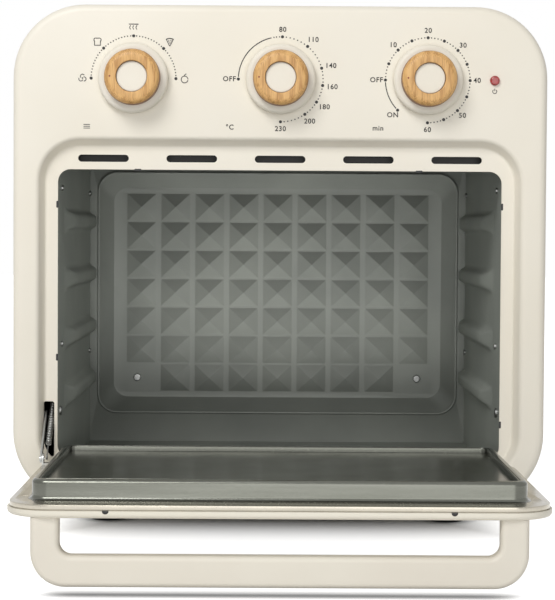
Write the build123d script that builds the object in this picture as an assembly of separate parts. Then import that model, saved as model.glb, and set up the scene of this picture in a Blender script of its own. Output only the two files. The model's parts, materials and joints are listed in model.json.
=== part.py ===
from build123d import *
import math
import os

# Mini oven with a drop-down glass door, shown with the door open.
# Millimetres. +Z is up, the front faces -Y, and the feet stand on z = 0. A cut runs 1 mm or more past a face.
# Heights below are given above the underside of the body, and y from the front of the fascia.

# Overall sizes
body_width = 340.0
body_height = 319.0
case_depth = 288.0
body_corner_radius = 46.0
foot_height = 22.0

# Sheet thicknesses and clearances
fascia_wall = 2.0
sheet = 1.0
cover_thickness = 1.2
running_clearance = 0.05
seat_clearance = 0.3

# Fascia and its door recess
fascia_depth = 16.0
fascia_edge_radius = 5.0
case_step = 0.5
recess_side = 16.0
recess_bottom = 18.2
control_strip = 85.1
recess_depth = 8.0
recess_corner_radius = 27.0
recess_wall_inset = 4.0
recess_edge_radius = 2.0
recess_lip_radius = 3.5
recess_lip_steps = 5
recess_shell_share = 1.1
recess_width = body_width - 2 * recess_side
recess_top = body_height - control_strip
recess_floor_back = recess_depth + fascia_wall

# Cavity opening and cavity
opening_side = 12.0
opening_rise = 11.3
opening_drop = 19.4
opening_corner_radius = 8.0
cavity_side_gap = 0.5
cavity_floor_height = 15.0
cavity_ceiling_rise = 19.5
cavity_rear_gap = 42.0
ceiling_step_depth = 8.0
opening_width = recess_width - 2 * opening_side
opening_bottom = recess_bottom + opening_rise
opening_top = recess_top - opening_drop
cavity_width = opening_width + 2 * cavity_side_gap
cavity_ceiling_height = opening_top + cavity_ceiling_rise
cavity_depth = case_depth - recess_floor_back - cavity_rear_gap
cavity_back_y = recess_floor_back + cavity_depth

# Back wall pan with its grid of pyramids
pan_side = 5.5
pan_floor_gap = 21.0
pan_ceiling_gap = 14.0
pan_corner_radius = 15.0
pan_inner_radius = 9.0
pan_inset = 12.0
pan_depth = 9.0
pyramid_columns = 9
pyramid_rows = 7
pyramid_rise = 3.0
pyramid_side_margin = 8.0
pyramid_end_margin = 4.05
pyramid_joint = 0.4
pyramid_tip_width = 0.6
pyramid_tip_height = 0.5
pan_screw_side = 18.0
pan_screw_head_radius = 2.8
pan_screw_head_rise = 1.6
pan_screw_head_round = 0.7
pan_screw_length = 6.0
pan_width = cavity_width - 2 * pan_side
pan_bottom = cavity_floor_height + pan_floor_gap
pan_top = cavity_ceiling_height - pan_ceiling_gap
pyramid_width = (pan_width - 2 * (pan_inset + pyramid_side_margin)) / pyramid_columns
pyramid_height = (pan_top - pan_bottom - 2 * (pan_inset + pyramid_end_margin)) / pyramid_rows
pan_screw_x = pan_width / 2 - pan_inset - pan_screw_side

# Rack guides pressed into the side walls
guide_count = 4
guide_above_floor = 50.0
guide_below_ceiling = 52.0
guide_rise = 6.0
guide_width = 12.0
guide_front = 42.0
guide_rear_gap = 8.0
guide_lowest = cavity_floor_height + guide_above_floor
guide_pitch = (cavity_ceiling_height - guide_below_ceiling - guide_lowest) / (guide_count - 1)
guide_length = cavity_depth - guide_front - guide_rear_gap

# Vent slots above the opening
vent_count = 5
vent_side = 41.0
vent_drop = 12.3
vent_length = 32.4
vent_width = 4.6
vent_pitch = (recess_width - 2 * vent_side) / (vent_count - 1)
vent_height = recess_top - vent_drop

# Door
door_side_gap = 4.25
door_open_gap = 2.6
door_seat_gap = 1.8
door_top_gap = 3.3
door_thickness = 7.2
door_corner_radius = 25.0
door_hinge_corner_radius = 30.0
door_edge_radius = 2.5
door_rim_radius = 0.8
door_plate_thickness = 0.8
door_plate_margin = 1.2
hinge_edge = 2.8
hinge_below_plate = 3.2
hinge_pin_radius = 1.5
hinge_pin_reach = 9.0
hinge_pin_end = 4.0
hinge_boss_wall = 1.5
hinge_boss_length = 16.0
hinge_boss_cap = 0.4
door_width = recess_width - 2 * door_side_gap
door_outer = recess_bottom + door_open_gap
plate_top = door_outer + door_thickness
hinge_height = plate_top - hinge_below_plate
hinge_y = recess_depth - door_seat_gap - hinge_below_plate
door_length = recess_top - door_top_gap - (hinge_height - hinge_edge)
door_front_y = hinge_y + hinge_edge - door_length

# Raised door ring, glass and seal
ring_side = 13.0
ring_from_hinge = 9.5
ring_from_edge = 20.8
ring_rise = 11.3
ring_land = 5.5
ring_wall = 1.2
ring_corner_radius = 9.0
ring_edge_radius = 2.0
ring_least_radius = 2.0
plate_ring_lap = 1.0
glass_drop = 3.3
glass_thickness = 3.5
glass_overlap = 2.4
seal_wall_gap = 0.6
seal_land_gap = 0.3
window_margin = 4.0
ring_width = door_width - 2 * ring_side
ring_length = door_length - hinge_edge - ring_from_hinge - ring_from_edge
ring_top = plate_top + ring_rise
glass_top = ring_top - glass_drop

# Handle
handle_side = 14.75
handle_leg_width = 15.5
handle_standoff = 20.6
handle_bar_height = 17.3
handle_thickness = 12.0
handle_outer_radius = 19.0
handle_inner_radius = 6.5
handle_edge_radius = 3.0
handle_from_edge = 3.0
handle_screw_radius = 2.0
handle_screw_head_radius = 3.8
handle_screw_head_depth = 2.6
handle_screw_depth = 13.5
handle_screw_end_gap = 0.5
handle_screw_head_drop = 0.2
handle_width = door_width - 2 * handle_side

# Door link and spring at the left corner
slot_from_recess = 6.6
slot_width = 6.8
slot_rise = 2.0
slot_height = 35.6
slot_corner_radius = 1.5
link_pivot_y = -17.0
link_pivot_rise = 3.5
link_thickness = 1.0
link_half_width = 2.5
link_length = 39.0
link_tab = 6.0
link_tab_trim = 0.6
link_slot_gap = 0.7
ear_thickness = 1.0
ear_foot_length = 7.5
ear_half_width = 3.5
link_pin_radius = 1.0
link_pin_head_radius = 1.8
link_pin_head_reach = 0.4
link_pin_tail = 0.6
spring_anchor_y = 62.0
spring_anchor_above_slot = 34.4
spring_radius = 1.7
spring_wire = 0.7
spring_hook_length = 13.0
spring_tail_length = 9.0
spring_end_wall = 1.0
spring_pin_gap = 1.6
spring_slot_gap = 0.35
anchor_radius = 1.5
anchor_head_radius = 2.6
anchor_neck = 2.6
anchor_head_thickness = 0.8
anchor_hook_gap = 0.1
slot_x = slot_from_recess - recess_width / 2
slot_bottom = plate_top + slot_rise
slot_top = slot_bottom + slot_height
link_pivot_height = plate_top + link_pivot_rise
spring_anchor_height = slot_top + spring_anchor_above_slot

# Knobs, dials and the parts behind them
knob_side = 76.6
knob_drop = 47.0
knob_radius = 22.2
knob_skirt_depth = 7.2
knob_gap = 0.8
knob_projection = 20.0
knob_edge_radius = 3.0
knob_bushing_gap = 2.5
knob_bushing_end_gap = 2.0
wood_edge_radius = 4.0
wood_radius = 17.5
cap_radius = 9.7
cap_clearance = 0.1
cap_recess = 2.0
cap_thickness = 2.0
cap_edge_radius = 0.6
shaft_radius = 3.0
shaft_depth = 20.0
shaft_behind_cap_face = 4.0
bushing_radius = 4.5
bushing_projection = 3.0
control_corner_radius = 3.0
control_tag_length = 7.0
control_tag_pitch = 9.0
control_tag_width = 4.8
control_tag_thickness = 0.8
control_tag_drop = 12.4
control_sizes = {"function": (42, 38, 26), "temperature": (40, 34, 24), "timer": (50, 50, 34)}
lamp_side = 34.0
lamp_radius = 3.1
lamp_projection = 2.4
lamp_body_radius = 5.0
lamp_body_length = 18.0
lamp_edge_radius = 1.4
lamp_pin_inner = 2.4
lamp_pin_outer = 3.0
lamp_pin_length = 6.0
lamp_pin_width = 4.0
knob_pitch = body_width / 2 - knob_side
knob_height = body_height - knob_drop
lamp_x = body_width / 2 - lamp_side
knob_seat = -knob_gap - knob_skirt_depth
cap_face = -knob_projection + cap_recess
shaft_front = cap_face + shaft_behind_cap_face

# Fan above the cavity
fan_opening_radius = 60.0
fan_guard_lap = 6.0
fan_housing_lap = 4.0
fan_flange = 9.0
fan_blade_gap = 6.0
fan_housing_height = 24.0
fan_blade_height = 14.0
fan_blade_count = 10
fan_blade_turn = 28.0
fan_hub_radius = 7.0
fan_shaft_radius = 2.5
guard_ring_count = 5
guard_ring_pitch = 10.0
guard_hole_radius = 2.6
guard_holes_per_ring = 6
fan_blade_length_share = 0.45
fan_blade_place_share = 0.76
fan_blade_lift = 4.0
fan_shaft_lift = 5.0
fan_shaft_end_gap = 8.0
fan_shaft_hole_radius = 4.0
motor_radius = 28.0
motor_height = 34.0
motor_edge_radius = 3.0
motor_tab = 8.0
motor_tab_thickness = 2.0
motor_bore_end_gap = 7.0
fan_y = recess_floor_back + cavity_depth / 2
fan_guard_radius = fan_opening_radius + fan_guard_lap
fan_housing_radius = fan_opening_radius + fan_housing_lap
fan_blade_radius = fan_opening_radius - fan_blade_gap

# Sheathed heating elements
element_radius = 3.25
element_side_gap = 18.5
element_bend = 16.0
element_tail = 14.0
upper_element_drop = 9.0
upper_element_front = 58.0
upper_element_rear_gap = 44.0
lower_element_rise = 6.5
lower_element_front = 42.0
lower_element_back = 106.0
insulator_radius = 5.5
insulator_length = 7.0
element_half_span = cavity_width / 2 - element_side_gap
upper_element_height = cavity_ceiling_height - upper_element_drop
upper_element_back = cavity_back_y - upper_element_rear_gap
lower_element_height = cavity_floor_height + lower_element_rise

# Rivets of the cavity walls
rivet_radius = 1.15
rivet_head_radius = 1.9
rivet_large_head_radius = 3.2
rivet_head_rise = 1.5
rivet_tail_radius = 1.8
rivet_front = 26.0
rivet_low_front = 17.0
rivet_rear_gap = 9.0
rivet_top_drop = 31.0
rivet_middle_rise = 86.0
rivet_low_rise = 43.0
rivet_head_round = 0.8
rivet_head_lap = 0.2
rivet_shank_reach = 0.6
rivet_tail_rise = 0.9
rivet_rear_low_height = guide_lowest + guide_pitch / 2

# Terminal block on the right wall
terminal_rear_gap = 50.0
terminal_length = 48.0
terminal_below_rivet = 6.5
terminal_height = 22.0
terminal_depth = 14.0
terminal_pitch = 14.0
terminal_hole_radius = 2.4
terminal_hole_depth = 6.0
terminal_low = rivet_rear_low_height - terminal_below_rivet - terminal_height

# Rear, underside and feet
case_flange = 10.0
bottom_lap = 8.0
bottom_slot_pitch = 22.0
bottom_slot_length = 70.0
bottom_slot_width = 6.0
bottom_slot_row = 55.0
bottom_slots_each_side = 3
rear_panel_side = 50.0
rear_panel_low = 72.5
rear_panel_drop = 56.5
rear_panel_rise = 6.0
rear_panel_radius = 14.0
louvre_columns = 3
louvre_rows = 12
louvre_gap = 12.0
louvre_width = 4.0
louvre_margin = 18.0
screw_radius = 1.5
screw_hole_radius = 1.6
screw_head_radius = 3.2
screw_head_rise = 2.0
screw_head_round = 0.9
screw_reach = 5.0
screw_head_lap = 0.8
screw_edge = 5.5
screw_x = 80.0
foot_radius = 13.0
foot_taper = 2.0
foot_edge_radius = 2.0
foot_inset = 54.0
foot_front_y = 92.0
foot_rear_gap = 42.0
foot_bore_radius = 5.0
foot_bore_depth = 12.0
foot_screw_radius = 2.0
foot_screw_head_radius = 4.2
foot_screw_head_height = 3.0
foot_screw_rise = 4.0
foot_nut_radius = 4.4
foot_nut_height = 3.2
gland_side = 52.0
gland_height = 42.0
gland_projection = 12.0
gland_radius = 6.0
gland_bore_radius = 3.6
gland_flange_radius = 9.0
gland_flange_thickness = 3.0
gland_lock_lip = 1.4
gland_lock_end = 5.0
gland_neck_end = 4.0
gland_cone_start = 2.0
gland_root_growth = 1.0
gland_tip_loss = 0.8
foot_back_y = case_depth - foot_rear_gap
bottom_opening = 2 * (body_width / 2 - foot_inset - foot_radius - bottom_lap)
rear_panel_width = body_width - 2 * rear_panel_side
rear_panel_high = body_height - rear_panel_drop
louvre_pitch = (rear_panel_width - louvre_margin) / louvre_columns
gland_x = body_width / 2 - gland_side
rear_y = case_depth + cover_thickness + rear_panel_rise
gland_back = case_depth + gland_projection

# The origin is under the middle of the whole outline with the door open
shift_y = -(door_front_y + max(rear_y, gland_back)) / 2

os.makedirs("parts", exist_ok=True)


def front_plane(y):
    """Plane facing forward: sketch x is X, sketch y is height above the body's underside."""
    return Plane(origin=(0, y, foot_height), x_dir=(1, 0, 0), z_dir=(0, -1, 0))


def slab(sketch, y_front, y_back):
    """Sketch drawn in the front view, made solid from y_front back to y_back."""
    return extrude(front_plane(y_front) * sketch, amount=-(y_back - y_front))


def lying(sketch, low, high):
    """Sketch drawn in plan, made solid between two heights above the body's underside."""
    return extrude(Pos(0, 0, low + foot_height) * sketch, amount=high - low)


def block(x_low, x_high, y_low, y_high, low, high):
    size = Box(x_high - x_low, y_high - y_low, high - low)
    return Pos((x_low + x_high) / 2, (y_low + y_high) / 2, (low + high) / 2 + foot_height) * size


def rod_x(radius, x_low, x_high, y, height):
    turned = Rot(0, 90, 0) * Cylinder(radius, x_high - x_low)
    return Pos((x_low + x_high) / 2, y, height + foot_height) * turned


def rod_y(radius, x, y_low, y_high, height):
    turned = Rot(90, 0, 0) * Cylinder(radius, y_high - y_low)
    return Pos(x, (y_low + y_high) / 2, height + foot_height) * turned


def rod_z(radius, x, y, low, high):
    return Pos(x, y, (low + high) / 2 + foot_height) * Cylinder(radius, high - low)


def rounded(width, low, high, radius, x=0.0):
    return Pos(x, (low + high) / 2) * RectangleRounded(width, high - low, radius)


def save(name, shape):
    moved = Pos(0, shift_y, 0) * shape
    moved.label = name
    export_step(moved, "parts/" + name + ".step")


def group(shapes):
    return Compound(children=[Compound(s.wrapped) if not isinstance(s, Solid) else s for s in shapes])


def tapered_pocket(grow, start, end):
    """The recess as a solid between two depths, larger all round by grow."""
    slope = recess_wall_inset / recess_depth
    out = grow - start * slope
    mouth = rounded(recess_width + 2 * out, recess_bottom - out, recess_top + out,
                    recess_corner_radius + out)
    taper = math.degrees(math.atan(slope))
    return extrude(front_plane(start) * mouth, amount=-(end - start), taper=taper)


def lip_cuts():
    """Frustums that round the mouth of the recess from the panel into its sloped wall."""
    turn = math.pi / 2 - math.atan(recess_wall_inset / recess_depth)
    reach = recess_lip_radius * math.tan(turn / 2)
    points = []
    for n in range(recess_lip_steps + 1):
        angle = turn * n / recess_lip_steps
        points.append((reach - recess_lip_radius * math.sin(angle),
                       recess_lip_radius * (1 - math.cos(angle))))
    cuts = []
    for (grow, start), (next_grow, end) in zip(points, points[1:]):
        mouth = rounded(recess_width + 2 * grow, recess_bottom - grow, recess_top + grow,
                        recess_corner_radius + grow)
        taper = math.degrees(math.atan2(grow - next_grow, end - start))
        cuts.append(extrude(front_plane(start) * mouth, amount=-(end - start), taper=taper))
    return cuts


def front_fascia():
    face = slab(rounded(body_width, 0, body_height, body_corner_radius), 0, fascia_depth)
    front_edges = face.edges().group_by(Axis.Y)[0]
    face = fillet(front_edges, fascia_edge_radius)
    inside = rounded(body_width - 2 * fascia_wall, fascia_wall, body_height - fascia_wall,
                     body_corner_radius - fascia_wall)
    face -= slab(inside, fascia_wall, fascia_depth + 1)
    face += tapered_pocket(recess_shell_share * fascia_wall, fascia_wall / 2, recess_floor_back)
    for side in (-1, 1):
        boss_end = pin_outer_x() + hinge_boss_cap
        low, high = sorted((side * (recess_width / 2 - hinge_boss_length), side * boss_end))
        face += rod_x(hinge_pin_radius + hinge_boss_wall, low, high, hinge_y, hinge_height)
    pocket = tapered_pocket(0.0, 0.0, recess_depth)
    pocket = fillet(pocket.edges().group_by(Axis.Y)[-1], recess_edge_radius)
    face -= pocket
    for cut in lip_cuts():
        face -= cut
    face -= slab(rounded(opening_width, opening_bottom, opening_top, opening_corner_radius),
                 recess_depth - 1, recess_floor_back + 1)
    for n in range(vent_count):
        x = (n - (vent_count - 1) / 2) * vent_pitch
        face -= slab(Pos(x, vent_height) * SlotOverall(vent_length, vent_width),
                     recess_depth - 1, recess_floor_back + 1)
    face -= slab(rounded(slot_width, slot_bottom, slot_top, slot_corner_radius, slot_x),
                 recess_depth - 2, recess_floor_back + 2)
    for x in knob_places():
        face -= rod_y(bushing_radius + seat_clearance, x, -1, fascia_wall + 1, knob_height)
    face -= rod_y(lamp_radius + running_clearance, lamp_x, -1, fascia_wall + 1, knob_height)
    for side in (-1, 1):
        low, high = sorted((side * pin_inner_x(), side * pin_outer_x()))
        face -= rod_x(hinge_pin_radius, low, high, hinge_y, hinge_height)
    return face


def knob_places():
    return [-knob_pitch, 0.0, knob_pitch]


def pin_inner_x():
    """Inner end of each hinge pin, inside the rounded corner of the door."""
    inset = door_hinge_corner_radius - math.sqrt(
        door_hinge_corner_radius ** 2 - (door_hinge_corner_radius - hinge_edge) ** 2)
    return door_width / 2 - inset - hinge_pin_reach


def pin_outer_x():
    return recess_width / 2 - hinge_pin_end


def hinge_pin(side):
    low, high = sorted((side * pin_inner_x(), side * pin_outer_x()))
    return rod_x(hinge_pin_radius, low, high, hinge_y, hinge_height)


def case_wrapper():
    w = body_width - 2 * case_step
    low, high = case_step, body_height - case_step
    radius = body_corner_radius - case_step
    sleeve = slab(rounded(w, low, high, radius), fascia_depth, case_depth)
    inner = rounded(w - 2 * sheet, low + sheet, high - sheet, radius - sheet)
    sleeve -= slab(inner, fascia_depth - 1, case_depth - sheet)
    sleeve -= slab(rounded(w - 2 * case_flange, low + case_flange, high - case_flange, radius - case_flange),
                   case_depth - 2 * sheet, case_depth + 1)
    sleeve -= block(-bottom_opening / 2, bottom_opening / 2, fascia_depth + case_flange,
                    case_depth - case_flange, -1, low + 2 * sheet)
    for x, z in rear_screw_places():
        sleeve -= rod_y(screw_hole_radius, x, case_depth - 2 * sheet, case_depth + 1, z)
    for x, y in foot_places():
        sleeve -= rod_z(foot_screw_radius + 2 * running_clearance, x, y, -1, 3)
    return sleeve


def bottom_plate():
    low = case_step + sheet
    plate = block(-bottom_opening / 2 - bottom_lap, bottom_opening / 2 + bottom_lap,
                  fascia_depth + 2, case_depth - 2, low, low + sheet)
    slot = Rot(0, 0, 90) * SlotOverall(bottom_slot_length, bottom_slot_width)
    for row in (-1, 1):
        for n in range(-bottom_slots_each_side, bottom_slots_each_side + 1):
            y = (fascia_depth + case_depth) / 2 + row * bottom_slot_row
            plate -= lying(Pos(n * bottom_slot_pitch, y) * slot, low - 1, low + 2)
    return plate


def rear_screw_places():
    side = body_width / 2 - screw_edge
    top = body_height - screw_edge
    return [(-side, body_height / 2), (side, body_height / 2), (-screw_x, screw_edge),
            (screw_x, screw_edge), (-screw_x, top), (screw_x, top)]


def rear_cover():
    w = body_width - 2 * case_step
    low, high = case_step, body_height - case_step
    radius = body_corner_radius - case_step
    thick = cover_thickness
    cover = slab(rounded(w, low, high, radius), case_depth, case_depth + thick)
    cover += slab(rounded(rear_panel_width, rear_panel_low, rear_panel_high, rear_panel_radius),
                  case_depth, rear_y)
    cover -= slab(rounded(rear_panel_width - 2 * thick, rear_panel_low + thick, rear_panel_high - thick,
                          rear_panel_radius - sheet), case_depth - 1, rear_y - thick)
    louvre = SlotOverall(louvre_pitch - louvre_gap, louvre_width)
    row_pitch = (rear_panel_high - rear_panel_low - 2 * louvre_margin) / (louvre_rows - 1)
    for column in range(louvre_columns):
        x = (column - (louvre_columns - 1) / 2) * louvre_pitch
        for row in range(louvre_rows):
            z = rear_panel_low + louvre_margin + row * row_pitch
            cover -= slab(Pos(x, z) * louvre, case_depth, rear_y + 1)
    for x, z in rear_screw_places():
        cover -= rod_y(screw_hole_radius, x, case_depth - 1, case_depth + 3, z)
    cover -= rod_y(gland_radius, gland_x, case_depth - 1, case_depth + 3, gland_height)
    return cover


def rear_screws():
    screws = []
    seat = case_depth + cover_thickness
    for x, z in rear_screw_places():
        head = rod_y(screw_head_radius, x, seat, seat + screw_head_rise, z)
        head = fillet(head.edges().group_by(Axis.Y)[-1], screw_head_round)
        screws.append(head + rod_y(screw_radius, x, case_depth - screw_reach, seat + screw_head_lap, z))
    return group(screws)


def cord_gland():
    seat = case_depth + cover_thickness
    cone_start = seat + gland_cone_start
    body = rod_y(gland_radius - cap_clearance, gland_x, case_depth - gland_neck_end, cone_start, gland_height)
    body += rod_y(gland_flange_radius, gland_x, seat, seat + gland_flange_thickness, gland_height)
    body += rod_y(gland_radius + gland_lock_lip, gland_x, case_depth - gland_lock_end, case_depth,
                  gland_height)
    cone = Cone(gland_radius + gland_root_growth, gland_radius - gland_tip_loss, gland_back - cone_start,
                align=(Align.CENTER, Align.CENTER, Align.MIN))
    body += Pos(gland_x, cone_start, gland_height + foot_height) * Rot(-90, 0, 0) * cone
    body -= rod_y(gland_bore_radius, gland_x, case_depth - 10, gland_back + 5, gland_height)
    return body


def foot_places():
    x = body_width / 2 - foot_inset
    return [(-x, foot_front_y), (x, foot_front_y), (-x, foot_back_y), (x, foot_back_y)]


def foot(x, y):
    top = case_step
    base = Pos(x, y, 0) * Cone(foot_radius - foot_taper, foot_radius, foot_height + top,
                               align=(Align.CENTER, Align.CENTER, Align.MIN))
    base = fillet(base.edges().group_by(Axis.Z)[0], foot_edge_radius)
    base -= Pos(x, y, -1) * Cylinder(foot_bore_radius, foot_bore_depth + 1,
                                     align=(Align.CENTER, Align.CENTER, Align.MIN))
    base -= Pos(x, y, 0) * Cylinder(foot_screw_radius + 2 * running_clearance, 3 * foot_height)
    return base


def foot_screws():
    screws = []
    for x, y in foot_places():
        length = foot_height + foot_screw_rise - foot_bore_depth
        shank = Pos(x, y, foot_bore_depth) * Cylinder(foot_screw_radius, length,
                                                      align=(Align.CENTER, Align.CENTER, Align.MIN))
        head = Pos(x, y, foot_bore_depth) * Cylinder(foot_screw_head_radius, foot_screw_head_height,
                                                     align=(Align.CENTER, Align.CENTER, Align.MAX))
        hexagon = extrude(RegularPolygon(foot_nut_radius, 6), foot_nut_height)
        nut = Pos(x, y, foot_height + case_step + sheet) * hexagon
        screws.append(shank + head + nut)
    return group(screws)


def wall_x():
    return cavity_width / 2


def cavity_wall(side):
    inner = wall_x()
    low, high = cavity_floor_height - sheet, cavity_ceiling_height + sheet
    x_low, x_high = sorted((side * inner, side * (inner + sheet)))
    wall = block(x_low, x_high, recess_floor_back, cavity_back_y, low, high)
    for n in range(guide_count):
        z = guide_lowest + n * guide_pitch
        profile = Polygon((0, -guide_width / 2), (guide_rise, -guide_width / 4),
                          (guide_rise, guide_width / 4), (0, guide_width / 2), align=None)
        plane = Plane(origin=(side * inner, recess_floor_back + guide_front, z + foot_height),
                      x_dir=(-side, 0, 0), z_dir=(0, 1, 0))
        wall += extrude(plane * profile, amount=guide_length)
    if side > 0:
        for y, z in element_ends():
            wall -= rod_x(element_radius + seat_clearance, inner - 2, inner + 3, y, z)
    else:
        wall -= rod_x(anchor_radius, -inner - 3, -inner + 2, spring_anchor_y, spring_anchor_height)
    for y, z, head_radius in rivet_places():
        wall -= rod_x(rivet_radius + running_clearance, x_low - 1, x_high + 1, y, z)
    return wall


def rivet_places():
    """Each rivet's y, height and head radius."""
    front = recess_floor_back + rivet_front
    rear = cavity_back_y - rivet_rear_gap
    low = cavity_floor_height
    top = cavity_ceiling_height - rivet_top_drop
    return [(front, top, rivet_head_radius), (front, low + rivet_middle_rise, rivet_head_radius),
            (recess_floor_back + rivet_low_front, low + rivet_low_rise, rivet_large_head_radius),
            (rear, top, rivet_head_radius), (rear, rivet_rear_low_height, rivet_head_radius)]


def cavity_rivets():
    rivets = []
    for side in (-1, 1):
        inner = wall_x()
        outer = inner + sheet
        for y, z, radius in rivet_places():
            shank = sorted((side * (inner - rivet_head_lap), side * (outer + rivet_shank_reach)))
            head = sorted((side * (inner - rivet_head_rise), side * inner))
            tail = sorted((side * outer, side * (outer + rivet_tail_rise)))
            cap = rod_x(radius, head[0], head[1], y, z)
            cap = fillet(cap.edges().group_by(Axis.X)[-1 if side < 0 else 0], rivet_head_round)
            body = rod_x(rivet_radius, shank[0], shank[1], y, z) + cap
            rivets.append(body + rod_x(rivet_tail_radius, tail[0], tail[1], y, z))
    return group(rivets)


def cavity_floor():
    low = cavity_floor_height - sheet
    w = wall_x()
    floor = block(-w, w, recess_floor_back, cavity_back_y, low, cavity_floor_height)
    floor += block(-w, w, recess_floor_back, recess_floor_back + sheet, low, opening_bottom)
    return floor


def cavity_ceiling():
    w = wall_x()
    step = recess_floor_back + ceiling_step_depth
    roof = block(-w, w, step, cavity_back_y, cavity_ceiling_height, cavity_ceiling_height + sheet)
    roof += block(-w, w, step, step + sheet, opening_top, cavity_ceiling_height)
    roof += block(-w, w, recess_floor_back, step + sheet, opening_top, opening_top + sheet)
    roof -= rod_z(fan_opening_radius, 0, fan_y, cavity_ceiling_height - 1, cavity_ceiling_height + 3)
    return roof


def pan_block(grow, start, end):
    """The pan as a solid, wide at the front and narrower at its flat back."""
    mouth = rounded(pan_width + 2 * grow, pan_bottom - grow, pan_top + grow, pan_corner_radius + grow)
    inset = pan_inset - grow
    flat = rounded(pan_width - 2 * inset, pan_bottom + inset, pan_top - inset, pan_inner_radius + grow)
    return loft([front_plane(start) * mouth, front_plane(end) * flat])


def cavity_back():
    w = wall_x() + sheet
    y = cavity_back_y
    plate = block(-w, w, y, y + sheet, cavity_floor_height - sheet, cavity_ceiling_height + sheet)
    plate += pan_block(sheet, y, y + pan_depth + sheet)
    plate -= pan_block(0.0, y, y + pan_depth)
    middle = (pan_bottom + pan_top) / 2
    face_y = y + pan_depth
    cells = []
    for row in range(pyramid_rows):
        for column in range(pyramid_columns):
            if row == 0 and column in (0, pyramid_columns - 1):
                continue
            x = (column - (pyramid_columns - 1) / 2) * pyramid_width
            z = middle + (row - (pyramid_rows - 1) / 2) * pyramid_height
            cell = Rectangle(pyramid_width - pyramid_joint, pyramid_height - pyramid_joint)
            base = front_plane(face_y) * (Pos(x, z) * cell)
            top = Rectangle(pyramid_tip_width, pyramid_tip_height)
            tip = front_plane(face_y - pyramid_rise) * (Pos(x, z) * top)
            cells.append(loft([base, tip]))
    plate = plate.fuse(*cells)
    for side in (-1, 1):
        x = side * pan_screw_x
        z = middle - (pyramid_rows - 1) / 2 * pyramid_height
        plate -= rod_y(screw_hole_radius, x, y - 1, face_y + 5, z)
    return plate


def back_screws():
    screws = []
    middle = (pan_bottom + pan_top) / 2
    y = cavity_back_y + pan_depth
    for side in (-1, 1):
        x = side * pan_screw_x
        z = middle - (pyramid_rows - 1) / 2 * pyramid_height
        head = rod_y(pan_screw_head_radius, x, y - pan_screw_head_rise, y, z)
        head = fillet(head.edges().group_by(Axis.Y)[0], pan_screw_head_round)
        screws.append(head + rod_y(screw_radius, x, y - 1, y + pan_screw_length, z))
    return group(screws)


def element_ends():
    return [(lower_element_front, lower_element_height), (lower_element_back, lower_element_height),
            (upper_element_front, upper_element_height), (upper_element_back, upper_element_height)]


def heating_element(y_front, y_back, height):
    reach = wall_x() + element_tail
    z = height + foot_height
    path = FilletPolyline((reach, y_front, z), (-element_half_span, y_front, z),
                          (-element_half_span, y_back, z), (reach, y_back, z), radius=element_bend)
    start = Plane(origin=(reach, y_front, z), z_dir=(-1, 0, 0))
    return sweep(start * Circle(element_radius), path=path)


def element_insulators():
    beads = []
    for y, z in element_ends():
        outer = wall_x() + sheet
        bead = rod_x(insulator_radius, outer, outer + insulator_length, y, z)
        bead -= rod_x(element_radius + running_clearance, outer - 1, outer + insulator_length + 1, y, z)
        beads.append(bead)
    return group(beads)


def fan_guard():
    top = cavity_ceiling_height
    disc = rod_z(fan_guard_radius, 0, fan_y, top - sheet, top)
    for ring in range(1, guard_ring_count + 1):
        radius = ring * guard_ring_pitch
        count = ring * guard_holes_per_ring
        for n in range(count):
            turn = math.radians(360.0 * n / count)
            x, y = radius * math.cos(turn), fan_y + radius * math.sin(turn)
            disc -= rod_z(guard_hole_radius, x, y, top - 3, top + 1)
    return disc


def fan_housing():
    low = cavity_ceiling_height + sheet
    top = low + fan_housing_height
    cup = rod_z(fan_housing_radius + fan_flange, 0, fan_y, low, low + sheet)
    cup += rod_z(fan_housing_radius, 0, fan_y, low, top)
    cup -= rod_z(fan_housing_radius - sheet, 0, fan_y, low - 1, top - sheet)
    cup -= rod_z(fan_shaft_hole_radius, 0, fan_y, low, top + 1)
    return cup


def fan_blades():
    low = cavity_ceiling_height + fan_blade_lift
    high = low + fan_blade_height
    middle = (low + high) / 2 + foot_height
    wheel = rod_z(fan_blade_radius, 0, fan_y, high - sheet, high)
    for n in range(fan_blade_count):
        blade = Box(fan_blade_radius * fan_blade_length_share, sheet, fan_blade_height)
        at = Pos(fan_blade_radius * fan_blade_place_share, 0, 0) * Rot(0, 0, fan_blade_turn) * blade
        wheel += Pos(0, fan_y, middle) * Rot(0, 0, n * 360 / fan_blade_count) * at
    wheel += rod_z(fan_hub_radius, 0, fan_y, low, high)
    wheel -= rod_z(fan_shaft_radius, 0, fan_y, low - 1, high + 1)
    return wheel


def fan_shaft():
    low = cavity_ceiling_height + fan_shaft_lift
    top = cavity_ceiling_height + sheet + fan_housing_height + motor_height - fan_shaft_end_gap
    return rod_z(fan_shaft_radius, 0, fan_y, low, top)


def fan_motor():
    low = cavity_ceiling_height + sheet + fan_housing_height
    stack = rod_z(motor_radius, 0, fan_y, low, low + motor_height)
    stack = fillet(stack.edges().group_by(Axis.Z)[-1], motor_edge_radius)
    stack += block(-motor_radius - motor_tab, motor_radius + motor_tab, fan_y - motor_tab, fan_y + motor_tab,
                   low, low + motor_tab_thickness)
    stack -= rod_z(fan_shaft_radius + running_clearance, 0, fan_y, low - 1,
                   low + motor_height - motor_bore_end_gap)
    return stack


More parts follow.
